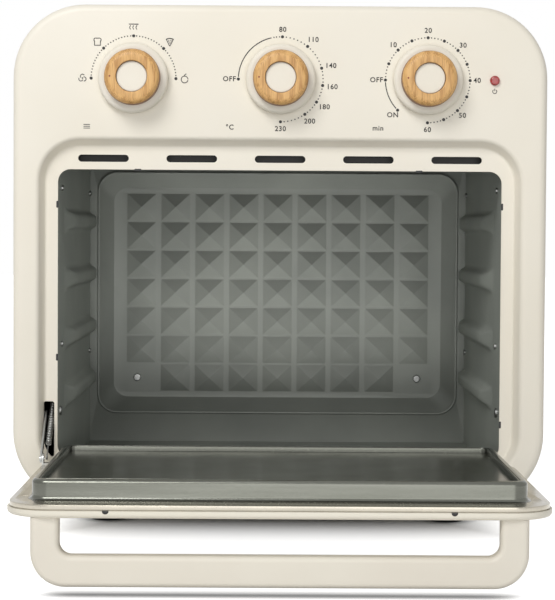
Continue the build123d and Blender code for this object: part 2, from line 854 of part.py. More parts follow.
def control_body(x, width, height, depth):
    """Switch, thermostat or timer body with its bushing through the panel."""
    body = block(x - width / 2, x + width / 2, fascia_wall, fascia_wall + depth,
                 knob_height - height / 2, knob_height + height / 2)
    body = fillet(body.edges().filter_by(Axis.Y), control_corner_radius)
    body += rod_y(bushing_radius, x, -bushing_projection, fascia_wall + 1, knob_height)
    body -= rod_y(shaft_radius + running_clearance, x, -bushing_projection - 1, shaft_depth + 1,
                  knob_height)
    back = fascia_wall + depth
    tag_low = knob_height - control_tag_drop
    for n in (-1, 0, 1):
        tag_x = x + n * control_tag_pitch
        body += block(tag_x - control_tag_width / 2, tag_x + control_tag_width / 2, back,
                      back + control_tag_length, tag_low, tag_low + control_tag_thickness)
    return body


def control_shaft(x):
    return rod_y(shaft_radius, x, shaft_front, shaft_depth, knob_height)


def knob_skirt(x):
    body = rod_y(knob_radius, x, knob_seat, -knob_gap, knob_height)
    body = fillet(body.edges().group_by(Axis.Y)[0], knob_edge_radius)
    body += rod_y(cap_radius - cap_clearance, x, cap_face + cap_thickness, knob_seat + 1, knob_height)
    body -= rod_y(bushing_radius + knob_bushing_gap, x, -bushing_projection - knob_bushing_end_gap, 1,
                  knob_height)
    body -= rod_y(shaft_radius, x, shaft_front, 1, knob_height)
    return body


def knob_wood_ring(x):
    ring = rod_y(wood_radius, x, -knob_projection, knob_seat, knob_height)
    ring = fillet(ring.edges().group_by(Axis.Y)[0], wood_edge_radius)
    ring -= rod_y(cap_radius, x, -knob_projection - 1, knob_seat + 1, knob_height)
    return ring


def knob_cap(x):
    cap = rod_y(cap_radius - cap_clearance, x, cap_face, cap_face + cap_thickness, knob_height)
    return fillet(cap.edges().group_by(Axis.Y)[0], cap_edge_radius)


def lamp_lens():
    lens = rod_y(lamp_radius, lamp_x, -lamp_projection, fascia_wall, knob_height)
    return fillet(lens.edges().group_by(Axis.Y)[0], lamp_edge_radius)


def lamp_holder():
    back = fascia_wall + lamp_body_length
    body = rod_y(lamp_body_radius, lamp_x, fascia_wall, back, knob_height)
    for side in (-1, 1):
        low, high = sorted((side * lamp_pin_inner, side * lamp_pin_outer))
        body += block(lamp_x + low, lamp_x + high, back, back + lamp_pin_length,
                      knob_height - lamp_pin_width / 2, knob_height + lamp_pin_width / 2)
    return body


def terminal_block():
    x = wall_x() + sheet
    back = case_depth - terminal_rear_gap
    front = back - terminal_length
    body = block(x, x + terminal_depth, front, back, terminal_low, terminal_low + terminal_height)
    for n in (-1, 0, 1):
        y = (front + back) / 2 + n * terminal_pitch
        z = terminal_low + terminal_height / 2
        body -= rod_x(terminal_hole_radius, x + terminal_depth - terminal_hole_depth, x + terminal_depth + 1,
                      y, z)
    return body


def door_outline(inset):
    """Plan of the door, with larger corners at the hinge edge."""
    half = door_width / 2 - inset
    front = door_front_y + inset
    back = hinge_y + hinge_edge - inset
    points = [(-half, front), (half, front), (half, back), (-half, back)]
    corners = Polygon(*points, align=None)
    near = corners.vertices().group_by(Axis.Y)[0]
    corners = fillet(near, door_corner_radius - inset)
    far = corners.vertices().group_by(Axis.Y)[-1]
    return fillet(far, door_hinge_corner_radius - inset)


def ring_centre():
    return hinge_y - ring_from_hinge - ring_length / 2


def ring_outline(inset):
    return Pos(0, ring_centre()) * RectangleRounded(
        ring_width - 2 * inset, ring_length - 2 * inset, max(ring_corner_radius - inset, ring_least_radius))


def door_frame():
    top = plate_top - door_plate_thickness
    body = lying(door_outline(0.0), door_outer, top)
    body = fillet(body.edges().group_by(Axis.Z)[0], door_edge_radius)
    body = fillet(body.edges().group_by(Axis.Z)[-1], door_rim_radius)
    body -= lying(ring_outline(ring_land + window_margin), door_outer - 1, top + 1)
    for side in (-1, 1):
        low, high = sorted((side * (pin_inner_x() - 0.5), side * (door_width / 2 + 5)))
        body -= rod_x(hinge_pin_radius + running_clearance, low, high, hinge_y, hinge_height)
        x = side * handle_screw_x()
        body -= rod_z(handle_screw_radius + seat_clearance, x, handle_y(), door_outer - 1, top + 1)
        body -= rod_z(handle_screw_head_radius + seat_clearance, x, handle_y(),
                      top - handle_screw_head_depth, top + 1)
    return body


def door_plate():
    low = plate_top - door_plate_thickness
    plate = lying(door_outline(door_plate_margin), low, plate_top)
    plate -= lying(ring_outline(ring_land + plate_ring_lap), low - 1, plate_top + 1)
    return plate


def door_ring():
    ring = lying(ring_outline(0.0), plate_top, ring_top)
    ring = fillet(ring.edges().group_by(Axis.Z)[-1], ring_edge_radius)
    ring -= lying(ring_outline(ring_wall), plate_top - 1, ring_top - ring_wall)
    ring -= lying(ring_outline(ring_land), plate_top, ring_top + 1)
    lip = lying(ring_outline(ring_land - ring_wall), glass_top, ring_top - ring_wall)
    lip -= lying(ring_outline(ring_land), glass_top - 1, ring_top + 1)
    return ring + lip


def door_glass():
    return lying(ring_outline(ring_land - glass_overlap), glass_top - glass_thickness, glass_top)


def glass_seal():
    low, high = plate_top, glass_top - glass_thickness
    seal = lying(ring_outline(ring_wall + seal_wall_gap), low, high)
    seal -= lying(ring_outline(ring_land - seal_land_gap), low - 1, high + 1)
    return seal


def handle_y():
    return door_front_y + handle_from_edge + handle_thickness / 2


def handle_screw_x():
    return handle_width / 2 - handle_leg_width / 2


def handle():
    bottom = door_outer - handle_standoff - handle_bar_height
    half = handle_width / 2
    inner_half = half - handle_leg_width
    outer = Polygon((-half, bottom), (half, bottom), (half, door_outer), (-half, door_outer), align=None)
    outer = fillet(outer.vertices().group_by(Axis.Y)[0], handle_outer_radius)
    gap_top = door_outer + 5
    gap = Polygon((-inner_half, bottom + handle_bar_height), (inner_half, bottom + handle_bar_height),
                  (inner_half, gap_top), (-inner_half, gap_top), align=None)
    gap = fillet(gap.vertices().group_by(Axis.Y)[0], handle_inner_radius)
    near = door_front_y + handle_from_edge
    bar = slab(outer - gap, near, near + handle_thickness)
    soft = bar.edges().group_by(Axis.Y)[0] + bar.edges().group_by(Axis.Y)[-1]
    soft = [e for e in soft if e.center().Z < door_outer + foot_height - 0.01]
    bar = fillet(soft, handle_edge_radius)
    hole_end = door_outer - handle_screw_depth - handle_screw_end_gap
    for side in (-1, 1):
        bar -= rod_z(handle_screw_radius, side * handle_screw_x(), handle_y(), hole_end, door_outer + 1)
    return bar


def handle_screws():
    top = plate_top - door_plate_thickness
    screws = []
    for side in (-1, 1):
        x = side * handle_screw_x()
        shank = rod_z(handle_screw_radius, x, handle_y(), door_outer - handle_screw_depth, top - 1)
        head = rod_z(handle_screw_head_radius, x, handle_y(), top - handle_screw_head_depth,
                     top - handle_screw_head_drop)
        screws.append(shank + head)
    return group(screws)


def link_direction():
    dy = spring_anchor_y - link_pivot_y
    dz = spring_anchor_height - link_pivot_height
    return math.degrees(math.atan2(dz, dy))


def link_x():
    return slot_x - slot_width / 2 + link_slot_gap


def ear_x():
    return link_x() + link_thickness + seat_clearance


def side_plane(x):
    """Plane across the oven at x: sketch x is Y, sketch y is height."""
    return Plane(origin=(x, 0, foot_height), x_dir=(0, 1, 0), z_dir=(1, 0, 0))


def hinge_link():
    strip = Pos(link_length / 2, 0) * SlotOverall(link_length + 2 * link_half_width, 2 * link_half_width)
    turned = Pos(link_pivot_y, link_pivot_height) * Rot(0, 0, link_direction()) * strip
    bar = extrude(side_plane(link_x()) * turned, amount=link_thickness)
    tab = Pos(link_length, 0) * Rectangle(link_thickness, 2 * link_half_width - link_tab_trim)
    tab = Pos(link_pivot_y, link_pivot_height) * Rot(0, 0, link_direction()) * tab
    bar += extrude(side_plane(link_x() - link_tab) * tab, amount=link_tab + link_thickness / 2)
    bar -= rod_x(link_pin_radius + running_clearance, link_x() - 1, link_x() + 2,
                 link_pivot_y, link_pivot_height)
    return bar


def hinge_ear():
    x = ear_x()
    rise = link_pivot_height - plate_top
    above = 2 * link_pivot_rise + 4 * ear_half_width
    blade = Pos(link_pivot_y, plate_top + rise / 2) * Rectangle(2 * ear_half_width, rise)
    blade += Pos(link_pivot_y, link_pivot_height) * Circle(ear_half_width)
    blade &= Pos(link_pivot_y, plate_top + above / 2) * Rectangle(above, above)
    ear = extrude(side_plane(x) * blade, amount=ear_thickness)
    ear += block(x, x + ear_foot_length, link_pivot_y - ear_half_width, link_pivot_y + ear_half_width,
                 plate_top, plate_top + sheet)
    ear -= rod_x(link_pin_radius, x - 1, x + 2, link_pivot_y, link_pivot_height)
    return ear


def ear_pin():
    x = ear_x()
    start = link_x() - link_pin_head_reach
    end = x + ear_thickness + link_pin_tail
    pin = rod_x(link_pin_radius, start, end, link_pivot_y, link_pivot_height)
    return pin + rod_x(link_pin_head_radius, start, link_x() - running_clearance, link_pivot_y,
                       link_pivot_height)


def spring_axis_x():
    return slot_x + slot_width / 2 - spring_radius - spring_slot_gap


def hinge_spring():
    """Outer shape of the extension spring, from beside the link's pivot to its anchor."""
    dy = spring_anchor_y - link_pivot_y
    dz = spring_anchor_height - link_pivot_height
    length = math.hypot(dy, dz)
    start = Plane(origin=(spring_axis_x(), link_pivot_y, link_pivot_height + foot_height),
                  z_dir=(0, dy, dz))
    coil_start = spring_hook_length
    coil_end = length - spring_tail_length
    coil = extrude(start.offset(coil_start) * Circle(spring_radius), amount=coil_end - coil_start)
    coil -= extrude(start.offset(coil_start + spring_end_wall) * Circle(spring_radius - spring_wire),
                    amount=coil_end - coil_start - 2 * spring_end_wall)
    hook = extrude(start.offset(spring_pin_gap) * Circle(spring_wire / 2), amount=coil_start - spring_pin_gap)
    tail = extrude(start.offset(coil_end) * Circle(spring_wire / 2),
                   amount=spring_tail_length - anchor_radius - anchor_hook_gap)
    return coil + hook + tail


def spring_anchor():
    x = -wall_x() - sheet
    head = spring_axis_x() - anchor_neck
    pin = rod_x(anchor_radius, head, x + sheet, spring_anchor_y, spring_anchor_height)
    return pin + rod_x(anchor_head_radius, head - anchor_head_thickness, head,
                       spring_anchor_y, spring_anchor_height)


save("front_fascia", front_fascia())
save("case_wrapper", case_wrapper())
save("bottom_plate", bottom_plate())
save("rear_cover", rear_cover())
save("rear_screws", rear_screws())
save("cord_gland", cord_gland())
foot_names = ["foot_front_left", "foot_front_right", "foot_back_left", "foot_back_right"]
for name, (x, y) in zip(foot_names, foot_places()):
    save(name, foot(x, y))
save("foot_screws", foot_screws())
save("cavity_left_wall", cavity_wall(-1))
save("cavity_right_wall", cavity_wall(1))
save("cavity_rivets", cavity_rivets())
save("cavity_floor", cavity_floor())
save("cavity_ceiling", cavity_ceiling())
save("cavity_back", cavity_back())
save("cavity_back_screws", back_screws())
save("upper_heating_element", heating_element(upper_element_front, upper_element_back,
                                              upper_element_height))
save("lower_heating_element", heating_element(lower_element_front, lower_element_back,
                                              lower_element_height))
save("element_insulators", element_insulators())
save("fan_guard", fan_guard())
save("fan_housing", fan_housing())
save("fan_blades", fan_blades())
save("fan_shaft", fan_shaft())
save("fan_motor", fan_motor())
switch_names = {"function": "function_switch", "temperature": "thermostat", "timer": "timer"}
for (name, size), x in zip(control_sizes.items(), knob_places()):
    save(switch_names[name], control_body(x, *size))
    save(name + "_shaft", control_shaft(x))
    save(name + "_knob", knob_skirt(x))
    save(name + "_knob_wood_ring", knob_wood_ring(x))
    save(name + "_knob_cap", knob_cap(x))
save("power_lamp_lens", lamp_lens())
save("power_lamp_holder", lamp_holder())
save("terminal_block", terminal_block())
save("hinge_pin_left", hinge_pin(-1))
save("hinge_pin_right", hinge_pin(1))
save("door_frame", door_frame())
save("door_inner_plate", door_plate())
save("door_ring", door_ring())
save("door_glass", door_glass())
save("glass_seal", glass_seal())
save("handle", handle())
save("handle_screws", handle_screws())
save("hinge_ear", hinge_ear())
save("ear_pin", ear_pin())
save("hinge_link", hinge_link())
save("hinge_spring", hinge_spring())
save("spring_anchor", spring_anchor())
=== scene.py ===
import bpy
import json
import math
from mathutils import Matrix, Vector

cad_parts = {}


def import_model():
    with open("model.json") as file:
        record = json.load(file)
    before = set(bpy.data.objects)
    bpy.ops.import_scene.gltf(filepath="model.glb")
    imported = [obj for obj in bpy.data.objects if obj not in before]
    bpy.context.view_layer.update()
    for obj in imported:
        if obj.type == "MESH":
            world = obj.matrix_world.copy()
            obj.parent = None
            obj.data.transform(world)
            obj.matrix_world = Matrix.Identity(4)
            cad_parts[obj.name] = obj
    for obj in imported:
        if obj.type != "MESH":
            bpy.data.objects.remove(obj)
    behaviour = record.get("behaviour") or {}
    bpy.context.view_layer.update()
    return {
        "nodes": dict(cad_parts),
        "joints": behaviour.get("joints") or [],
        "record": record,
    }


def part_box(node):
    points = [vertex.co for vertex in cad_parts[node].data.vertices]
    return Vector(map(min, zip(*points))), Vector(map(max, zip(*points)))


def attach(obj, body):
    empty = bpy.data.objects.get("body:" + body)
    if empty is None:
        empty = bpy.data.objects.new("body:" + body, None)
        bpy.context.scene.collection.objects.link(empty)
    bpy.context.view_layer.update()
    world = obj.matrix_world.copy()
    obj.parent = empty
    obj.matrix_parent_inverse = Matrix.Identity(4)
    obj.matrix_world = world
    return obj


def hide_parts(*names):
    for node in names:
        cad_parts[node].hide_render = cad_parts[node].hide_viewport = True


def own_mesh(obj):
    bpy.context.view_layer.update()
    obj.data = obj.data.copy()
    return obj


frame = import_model()
nodes = frame["nodes"]
mm = 0.001
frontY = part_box("front_fascia")[0].y  # front of the fascia
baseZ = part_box("front_fascia")[0].z  # underside of the body
print("frame loaded:", len(nodes), "nodes")


# Places are given in millimetres: x across, y back from the fascia, z above the underside of the body
def world(x, y, z):
    return Vector((x * mm, frontY + y * mm, baseZ + z * mm))


def localBox(node):
    low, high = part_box(node)
    return [Vector((c.x / mm, (c.y - frontY) / mm, (c.z - baseZ) / mm)) for c in (low, high)]


def middleOf(node):
    return [(low + high) / 2 for low, high in zip(*localBox(node))]


def jointPlace(name):
    joint = next(j for j in frame["joints"] if j["name"] == name)
    return Vector(joint.get("pos_m") or joint.get("origin_m"))


def srgb(r, g, b):
    def line(c):
        c = c / 255
        return c / 12.92 if c <= 0.04045 else ((c + 0.055) / 1.055) ** 2.4
    return (line(r), line(g), line(b), 1)


# Mesh helpers
def leave():
    if bpy.context.object and bpy.context.object.mode != "OBJECT":
        bpy.ops.object.mode_set(mode="OBJECT")
    bpy.ops.object.select_all(action="DESELECT")


def only(piece):
    leave()
    piece.select_set(True)
    bpy.context.view_layer.objects.active = piece


def settle(piece):
    only(piece)
    bpy.ops.object.transform_apply(location=True, rotation=True, scale=True)


def edit(piece, kind="FACE"):
    only(piece)
    bpy.ops.object.mode_set(mode="EDIT")
    bpy.ops.mesh.select_mode(type=kind)


def editAll(piece, kind="FACE"):
    edit(piece, kind)
    bpy.ops.mesh.select_all(action="SELECT")


def pick(piece, test, kind="FACE"):  # selects what passes the test, and stays in edit mode
    edit(piece, kind)
    bpy.ops.mesh.select_all(action="DESELECT")
    bpy.ops.object.mode_set(mode="OBJECT")
    mesh = piece.data
    for item in {"FACE": mesh.polygons, "EDGE": mesh.edges, "VERT": mesh.vertices}[kind]:
        item.select = test(item)
    bpy.ops.object.mode_set(mode="EDIT")


def addModifier(piece, kind, **values):
    only(piece)
    modifier = piece.modifiers.new(kind.lower(), kind)
    for key, value in values.items():
        setattr(modifier, key, value)
    bpy.ops.object.modifier_apply(modifier=modifier.name)


def roundEdges(piece, width, segments, degrees=30):  # rounds the edges that bend by more than the angle
    addModifier(piece, "BEVEL", width=width * mm, segments=segments, limit_method="ANGLE",
                angle_limit=math.radians(degrees))


def soften(piece, degrees=35):
    only(piece)
    bpy.ops.object.shade_smooth_by_angle(angle=math.radians(degrees))


def joinAll(pieces, name):
    leave()
    for piece in pieces:
        piece.select_set(True)
    bpy.context.view_layer.objects.active = pieces[0]
    bpy.ops.object.join()
    pieces[0].name = name
    return pieces[0]


def turnOutward(piece):
    editAll(piece)
    bpy.ops.mesh.remove_doubles(threshold=1e-6)
    bpy.ops.mesh.normals_make_consistent(inside=False)
    leave()


def thicken(piece, y=0, z=0):  # a flat face made a block
    editAll(piece)
    bpy.ops.mesh.extrude_region_move(TRANSFORM_OT_translate={"value": (0, y * mm, z * mm)})
    turnOutward(piece)
    return piece


def onePoint(spot):  # a single point, in edit mode, to be drawn out and spun
    leave()
    bpy.ops.mesh.primitive_plane_add(size=0.0001, location=spot)
    piece = bpy.context.object
    settle(piece)
    editAll(piece, "VERT")
    bpy.ops.mesh.merge(type="CENTER")
    return piece


def roundedPanel(name, spot, width, height, radius, turn, segments=10):
    leave()
    bpy.ops.mesh.primitive_plane_add(size=1, location=world(*spot), rotation=turn)
    piece = bpy.context.object
    piece.name = name
    piece.scale = (width * mm, height * mm, 1)
    settle(piece)
    if radius:
        editAll(piece, "VERT")
        bpy.ops.mesh.bevel(offset=radius * mm, segments=segments, affect="VERTICES", profile=0.5)
        leave()
    return piece


def disc(x, y, z, radius, depth, sides=32):  # a short cylinder along y
    leave()
    bpy.ops.mesh.primitive_cylinder_add(radius=radius * mm, depth=depth * mm, vertices=sides,
                                        rotation=(math.pi / 2, 0, 0), location=world(x, y, z))
    settle(bpy.context.object)
    return bpy.context.object


def curveSteps(inward, up, radius, start, end, steps):  # profile points on an arc
    points = []
    for n in range(steps + 1):
        angle = math.radians(start + (end - start) * n / steps)
        points.append((inward + radius * math.cos(angle), up + radius * math.sin(angle)))
    return points


def followProfile(piece, points):  # insets the one face step by step, to each distance inward and height
    least = 0.0005  # smallest inset, for a straight rise
    editAll(piece)
    for (inward, up), (nextInward, nextUp) in zip(points, points[1:]):
        bpy.ops.mesh.inset(thickness=max(nextInward - inward, least) * mm, depth=(nextUp - up) * mm,
                           use_even_offset=True)


def lathe(name, spot, profile, steps):  # closed profile of radius and y, turned about the y axis
    x, y, z = spot
    piece = onePoint(world(x + profile[0][0], y + profile[0][1], z))
    piece.name = name
    for (radius, along), (nextRadius, nextAlong) in zip(profile, profile[1:] + profile[:1]):
        move = ((nextRadius - radius) * mm, (nextAlong - along) * mm, 0)
        bpy.ops.mesh.extrude_region_move(TRANSFORM_OT_translate={"value": move})
    bpy.ops.mesh.select_all(action="SELECT")
    bpy.ops.mesh.spin(steps=steps, angle=2 * math.pi, center=world(x, y, z), axis=(0, 1, 0))
    turnOutward(piece)
    return piece


def newObject(name, data):
    piece = bpy.data.objects.new(name, data)
    bpy.context.scene.collection.objects.link(piece)
    return piece


def copyOf(node, name):  # a merged copy of a CAD node, to cut small details into
    piece = newObject(name, nodes[node].data.copy())
    edit(piece)
    bpy.ops.mesh.customdata_custom_splitnormals_clear()
    bpy.ops.mesh.select_all(action="SELECT")
    bpy.ops.mesh.remove_doubles(threshold=1e-6)
    leave()
    return piece


def cutWith(piece, cutter):
    addModifier(piece, "BOOLEAN", object=cutter, operation="DIFFERENCE", solver="EXACT")
    bpy.data.objects.remove(cutter)


def finish(piece, body, slotName, replaced=(), smooth=35, own=None):  # own: a finish of the piece's own
    if smooth:
        soften(piece, smooth)
    leave()
    piece.data.materials.clear()
    piece.data.materials.append(finishes[slotName])
    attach(piece, body)
    if replaced:
        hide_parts(*replaced)
    if own:
        piece.data.materials[0] = own


# Materials, all on Object coordinates
def startFinish(name):
    material = bpy.data.materials.new(name)
    material.use_nodes = True
    tree = material.node_tree
    return material, tree, tree.nodes["Principled BSDF"]


def noise(tree, scale, detail=3.0, stretch=(1, 1, 1)):
    place = tree.nodes.new("ShaderNodeTexCoord")
    mapping = tree.nodes.new("ShaderNodeMapping")
    mapping.inputs["Scale"].default_value = stretch
    pattern = tree.nodes.new("ShaderNodeTexNoise")
    pattern.inputs["Scale"].default_value = scale
    pattern.inputs["Detail"].default_value = detail
    tree.links.new(place.outputs["Object"], mapping.inputs["Vector"])
    tree.links.new(mapping.outputs["Vector"], pattern.inputs["Vector"])
    return pattern.outputs["Fac"]


def twoColours(tree, factor, first, second, low=0.35, high=0.65):
    ramp = tree.nodes.new("ShaderNodeValToRGB")
    ramp.color_ramp.elements[0].position = low
    ramp.color_ramp.elements[0].color = first
    ramp.color_ramp.elements[1].position = high
    ramp.color_ramp.elements[1].color = second
    tree.links.new(factor, ramp.inputs["Fac"])
    return ramp.outputs["Color"]


def mapRange(tree, value, start, end, low, high, way="LINEAR"):
    between = tree.nodes.new("ShaderNodeMapRange")
    between.interpolation_type = way
    for name, number in (("From Min", start), ("From Max", end), ("To Min", low), ("To Max", high)):
        between.inputs[name].default_value = number
    tree.links.new(value, between.inputs["Value"])
    return between.outputs["Result"]


def spread(tree, pattern, low, high):  # the pattern's middle range, spread between the two values
    return mapRange(tree, pattern, 0.3, 0.7, low, high)


def fade(tree, value, start, end):  # one at the start, falling smoothly to zero at the end
    return mapRange(tree, value, start, end, 1, 0, "SMOOTHSTEP")


def axesOf(tree, kind):  # x, y and z of each point's place or of the way it faces
    place = tree.nodes.new("ShaderNodeTexCoord")
    split = tree.nodes.new("ShaderNodeSeparateXYZ")
    tree.links.new(place.outputs[kind], split.inputs["Vector"])
    return split.outputs


def combine(tree, operation, first, second):
    node = tree.nodes.new("ShaderNodeMath")
    node.operation = operation
    for socket, value in zip(node.inputs, (first, second)):
        if isinstance(value, (int, float)):
            socket.default_value = value
        else:
            tree.links.new(value, socket)
    return node.outputs["Value"]


def addBump(tree, shader, height, strength, depth):
    bump = tree.nodes.new("ShaderNodeBump")
    bump.inputs["Strength"].default_value = strength
    bump.inputs["Distance"].default_value = depth * mm
    tree.links.new(height, bump.inputs["Height"])
    tree.links.new(bump.outputs["Normal"], shader.inputs["Normal"])


def surface(name, look):
    material, tree, shader = startFinish(name)
    stretch = look.get("stretch", (1, 1, 1))
    patches = noise(tree, look["patch"], 4.0, stretch)
    grain = noise(tree, look["grain"], 2.0, stretch)
    colour = twoColours(tree, patches, srgb(*look["colour"]), srgb(*look["shade"]))
    tree.links.new(colour, shader.inputs["Base Color"])
    tree.links.new(spread(tree, grain, *look["rough"]), shader.inputs["Roughness"])
    shader.inputs["Metallic"].default_value = look.get("metal", 0.0)
    shader.inputs["Coat Weight"].default_value = look.get("coat", 0.0)
    height = noise(tree, *look["waves"]) if "waves" in look else grain
    addBump(tree, shader, height, look["bump"], look.get("depth", 0.05))
    return material, tree, shader


def changeTo(tree, factor, first, second):  # the first colour, changed to the second where the factor is one
    mix = tree.nodes.new("ShaderNodeMix")
    mix.data_type = "RGBA"
    mix.inputs["B"].default_value = second
    tree.links.new(factor, mix.inputs["Factor"])
    tree.links.new(first, mix.inputs["A"])
    return mix.outputs["Result"]


# near-black for the bare sheet inside the case, painted as shade
bareSheetShade = (20, 19, 17)


def paintShadeInside(tree, shader, side):  # the bare inside sheet, painted near-black as shade, on the faces that look into the case
    facing = axesOf(tree, "Normal")["Y"]
    if side == "within":
        place = tree.nodes.new("ShaderNodeTexCoord")
        centre = tree.nodes.new("ShaderNodeVectorMath")
        centre.operation = "SUBTRACT"
        low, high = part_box("case_wrapper")
        centre.inputs[1].default_value = (low + high) / 2
        tree.links.new(place.outputs["Object"], centre.inputs[0])
        dot = tree.nodes.new("ShaderNodeVectorMath")
        dot.operation = "DOT_PRODUCT"
        tree.links.new(centre.outputs["Vector"], dot.inputs[0])
        tree.links.new(place.outputs["Normal"], dot.inputs[1])
        facing = dot.outputs["Value"]
    limit = {"behind": 0.3, "ahead": -0.3, "within": 0.0}[side]
    hidden = combine(tree, "GREATER_THAN" if side == "behind" else "LESS_THAN", facing, limit)
    painted = shader.inputs["Base Color"].links[0].from_socket
    tree.links.new(changeTo(tree, hidden, painted, srgb(*bareSheetShade)), shader.inputs["Base Color"])


def wood():
    look = {"pale": (226, 180, 116), "dark": (180, 130, 72), "edgeTone": (128, 82, 44), "grain": 22,
            "streak": (16, 16, 1.6), "fine": (110, 110, 4), "share": 0.55, "between": (0.4, 0.55),
            "rim": (0.12, 0.5), "rough": (0.38, 0.55), "bump": 0.3, "depth": 0.08}
    material, tree, shader = startFinish("oiledBeech")
    wide = noise(tree, look["grain"], 3.0, look["streak"])
    fine = noise(tree, look["grain"], 4.0, look["fine"])
    blend = tree.nodes.new("ShaderNodeMix")
    blend.data_type = "FLOAT"
    blend.inputs["Factor"].default_value = look["share"]
    tree.links.new(wide, blend.inputs["A"])
    tree.links.new(fine, blend.inputs["B"])
    dark, pale = srgb(*look["dark"]), srgb(*look["pale"])
    colour = twoColours(tree, blend.outputs["Result"], dark, pale, *look["between"])
    upright = combine(tree, "ABSOLUTE", axesOf(tree, "Normal")["Y"], 0)
    rim = fade(tree, upright, *look["rim"])  # darker where the faces turn sideways, at the ring's edges
    tree.links.new(changeTo(tree, rim, colour, srgb(*look["edgeTone"])), shader.inputs["Base Color"])
    tree.links.new(spread(tree, fine, *look["rough"]), shader.inputs["Roughness"])
    addBump(tree, shader, fine, look["bump"], look["depth"])
    return material


def darkGlass():
    look = {"colour": (56, 56, 46), "fleck": (84, 84, 71), "density": 620, "smear": 30, "rough": (0.14, 0.24),
            "bump": 0.1, "depth": 0.04, "between": (0.58, 0.74), "clear": 0.3, "bending": 1.5}
    material, tree, shader = startFinish("darkGlass")
    flecks = noise(tree, look["density"], 1.0)
    colour = twoColours(tree, flecks, srgb(*look["colour"]), srgb(*look["fleck"]), *look["between"])
    tree.links.new(colour, shader.inputs["Base Color"])
    smears = noise(tree, look["smear"], 3.0)
    tree.links.new(spread(tree, smears, *look["rough"]), shader.inputs["Roughness"])
    addBump(tree, shader, flecks, look["bump"], look["depth"])
    shader.inputs["Transmission Weight"].default_value = look["clear"]
    shader.inputs["IOR"].default_value = look["bending"]
    return material


def redLens():
    look = {"dark": (150, 24, 22), "bright": (176, 40, 36), "grain": 700, "rough": (0.12, 0.2), "coat": 0.5}
    material, tree, shader = startFinish("redLens")
    depth = noise(tree, look["grain"], 2.0)
    colour = twoColours(tree, depth, srgb(*look["dark"]), srgb(*look["bright"]))
    tree.links.new(colour, shader.inputs["Base Color"])
    tree.links.new(spread(tree, depth, *look["rough"]), shader.inputs["Roughness"])
    shader.inputs["Coat Weight"].default_value = look["coat"]
    return material


def plainFinish(name, look, side=None):
    material, tree, shader = surface(name, look)
    if side:
        paintShadeInside(tree, shader, side)
    return material


enamelLook = {"colour": (238, 231, 215), "shade": (241, 235, 221), "patch": 9, "rough": (0.42, 0.5),
              "grain": 1500, "bump": 0.06, "depth": 0.04}
polishedLook = {"colour": (176, 170, 157), "shade": (162, 157, 145), "patch": 18, "rough": (0.18, 0.28),
                "grain": 500, "waves": (14, 1.0, (0.6, 2.2, 1)), "bump": 0.35, "depth": 1.2, "metal": 1.0}
coatingLook = {"colour": (130, 133, 127), "shade": (141, 144, 137), "patch": 16, "rough": (0.42, 0.52),
               "grain": 1300, "bump": 0.1, "metal": 0.2}
# a lighter copy of the cavity coating for the side walls: painted light
wallLitLook = dict(coatingLook, colour=(146, 150, 143), shade=(156, 160, 152))
# a darker copy of the cream plastic for the handle: painted shade
handleShadedLook = {"colour": (224, 217, 203), "shade": (228, 222, 208), "patch": 14, "rough": (0.44, 0.52),
              "grain": 1700, "bump": 0.1}
# a darker copy of the enamel for the door rim: painted shade
doorShadedLook = {"colour": (229, 223, 207), "shade": (233, 227, 212), "patch": 9, "rough": (0.4, 0.48),
            "grain": 1500, "bump": 0.06, "depth": 0.04}
# a darker copy of the polished steel for the door ring: painted darker reflection; its lengthwise streaks are
# brushed grain
ringDimmedLook = {"colour": (98, 99, 92), "shade": (108, 109, 102), "patch": 30, "rough": (0.18, 0.28),
            "grain": 900, "bump": 0.06, "metal": 1.0, "stretch": (0.3, 1, 6), "depth": 0.03}
plainLooks = {
    "cream_plastic": {"colour": (236, 229, 213), "shade": (240, 234, 220), "patch": 14, "rough": (0.46, 0.54),
                      "grain": 1700, "bump": 0.1},
    "cavity_coating": coatingLook,
    "zinc_steel": {"colour": (176, 177, 174), "shade": (150, 151, 149), "patch": 60, "rough": (0.28, 0.42),
                   "grain": 900, "bump": 0.08, "metal": 1.0},
    "spring_steel": {"colour": (178, 178, 174), "shade": (140, 140, 138), "patch": 200, "rough": (0.22, 0.34),
                     "grain": 1500, "bump": 0.08, "metal": 1.0},
    "sheath_steel": {"colour": (104, 100, 92), "shade": (76, 74, 70), "patch": 50, "rough": (0.4, 0.55),
                     "grain": 900, "bump": 0.12, "metal": 0.8},
    "white_ceramic": {"colour": (232, 229, 218), "shade": (222, 218, 206), "patch": 90, "rough": (0.5, 0.62),
                      "grain": 1200, "bump": 0.12},
    "grey_silicone": {"colour": (66, 66, 62), "shade": (58, 58, 55), "patch": 60, "rough": (0.6, 0.72),
                      "grain": 900, "bump": 0.12},
    "black_rubber": {"colour": (34, 34, 34), "shade": (28, 28, 28), "patch": 60, "rough": (0.6, 0.75),
                     "grain": 900, "bump": 0.2},
    "fan_aluminium": {"colour": (196, 197, 198), "shade": (180, 181, 183), "patch": 50, "rough": (0.25, 0.4),
                      "grain": 700, "bump": 0.08, "metal": 1.0},
    "shaft_steel": {"colour": (170, 170, 168), "shade": (150, 150, 149), "patch": 80, "rough": (0.22, 0.34),
                    "grain": 1100, "bump": 0.08, "metal": 1.0, "stretch": (1, 6, 1)},
    "motor_steel": {"colour": (112, 113, 114), "shade": (92, 93, 95), "patch": 60, "rough": (0.35, 0.5),
                    "grain": 700, "bump": 0.1, "metal": 0.9, "stretch": (1, 1, 8)},
    "dark_plastic": {"colour": (30, 30, 30), "shade": (24, 24, 24), "patch": 60, "rough": (0.45, 0.58),
                     "grain": 1100, "bump": 0.12},
}
finishes = {name: plainFinish(name, look) for name, look in plainLooks.items()}
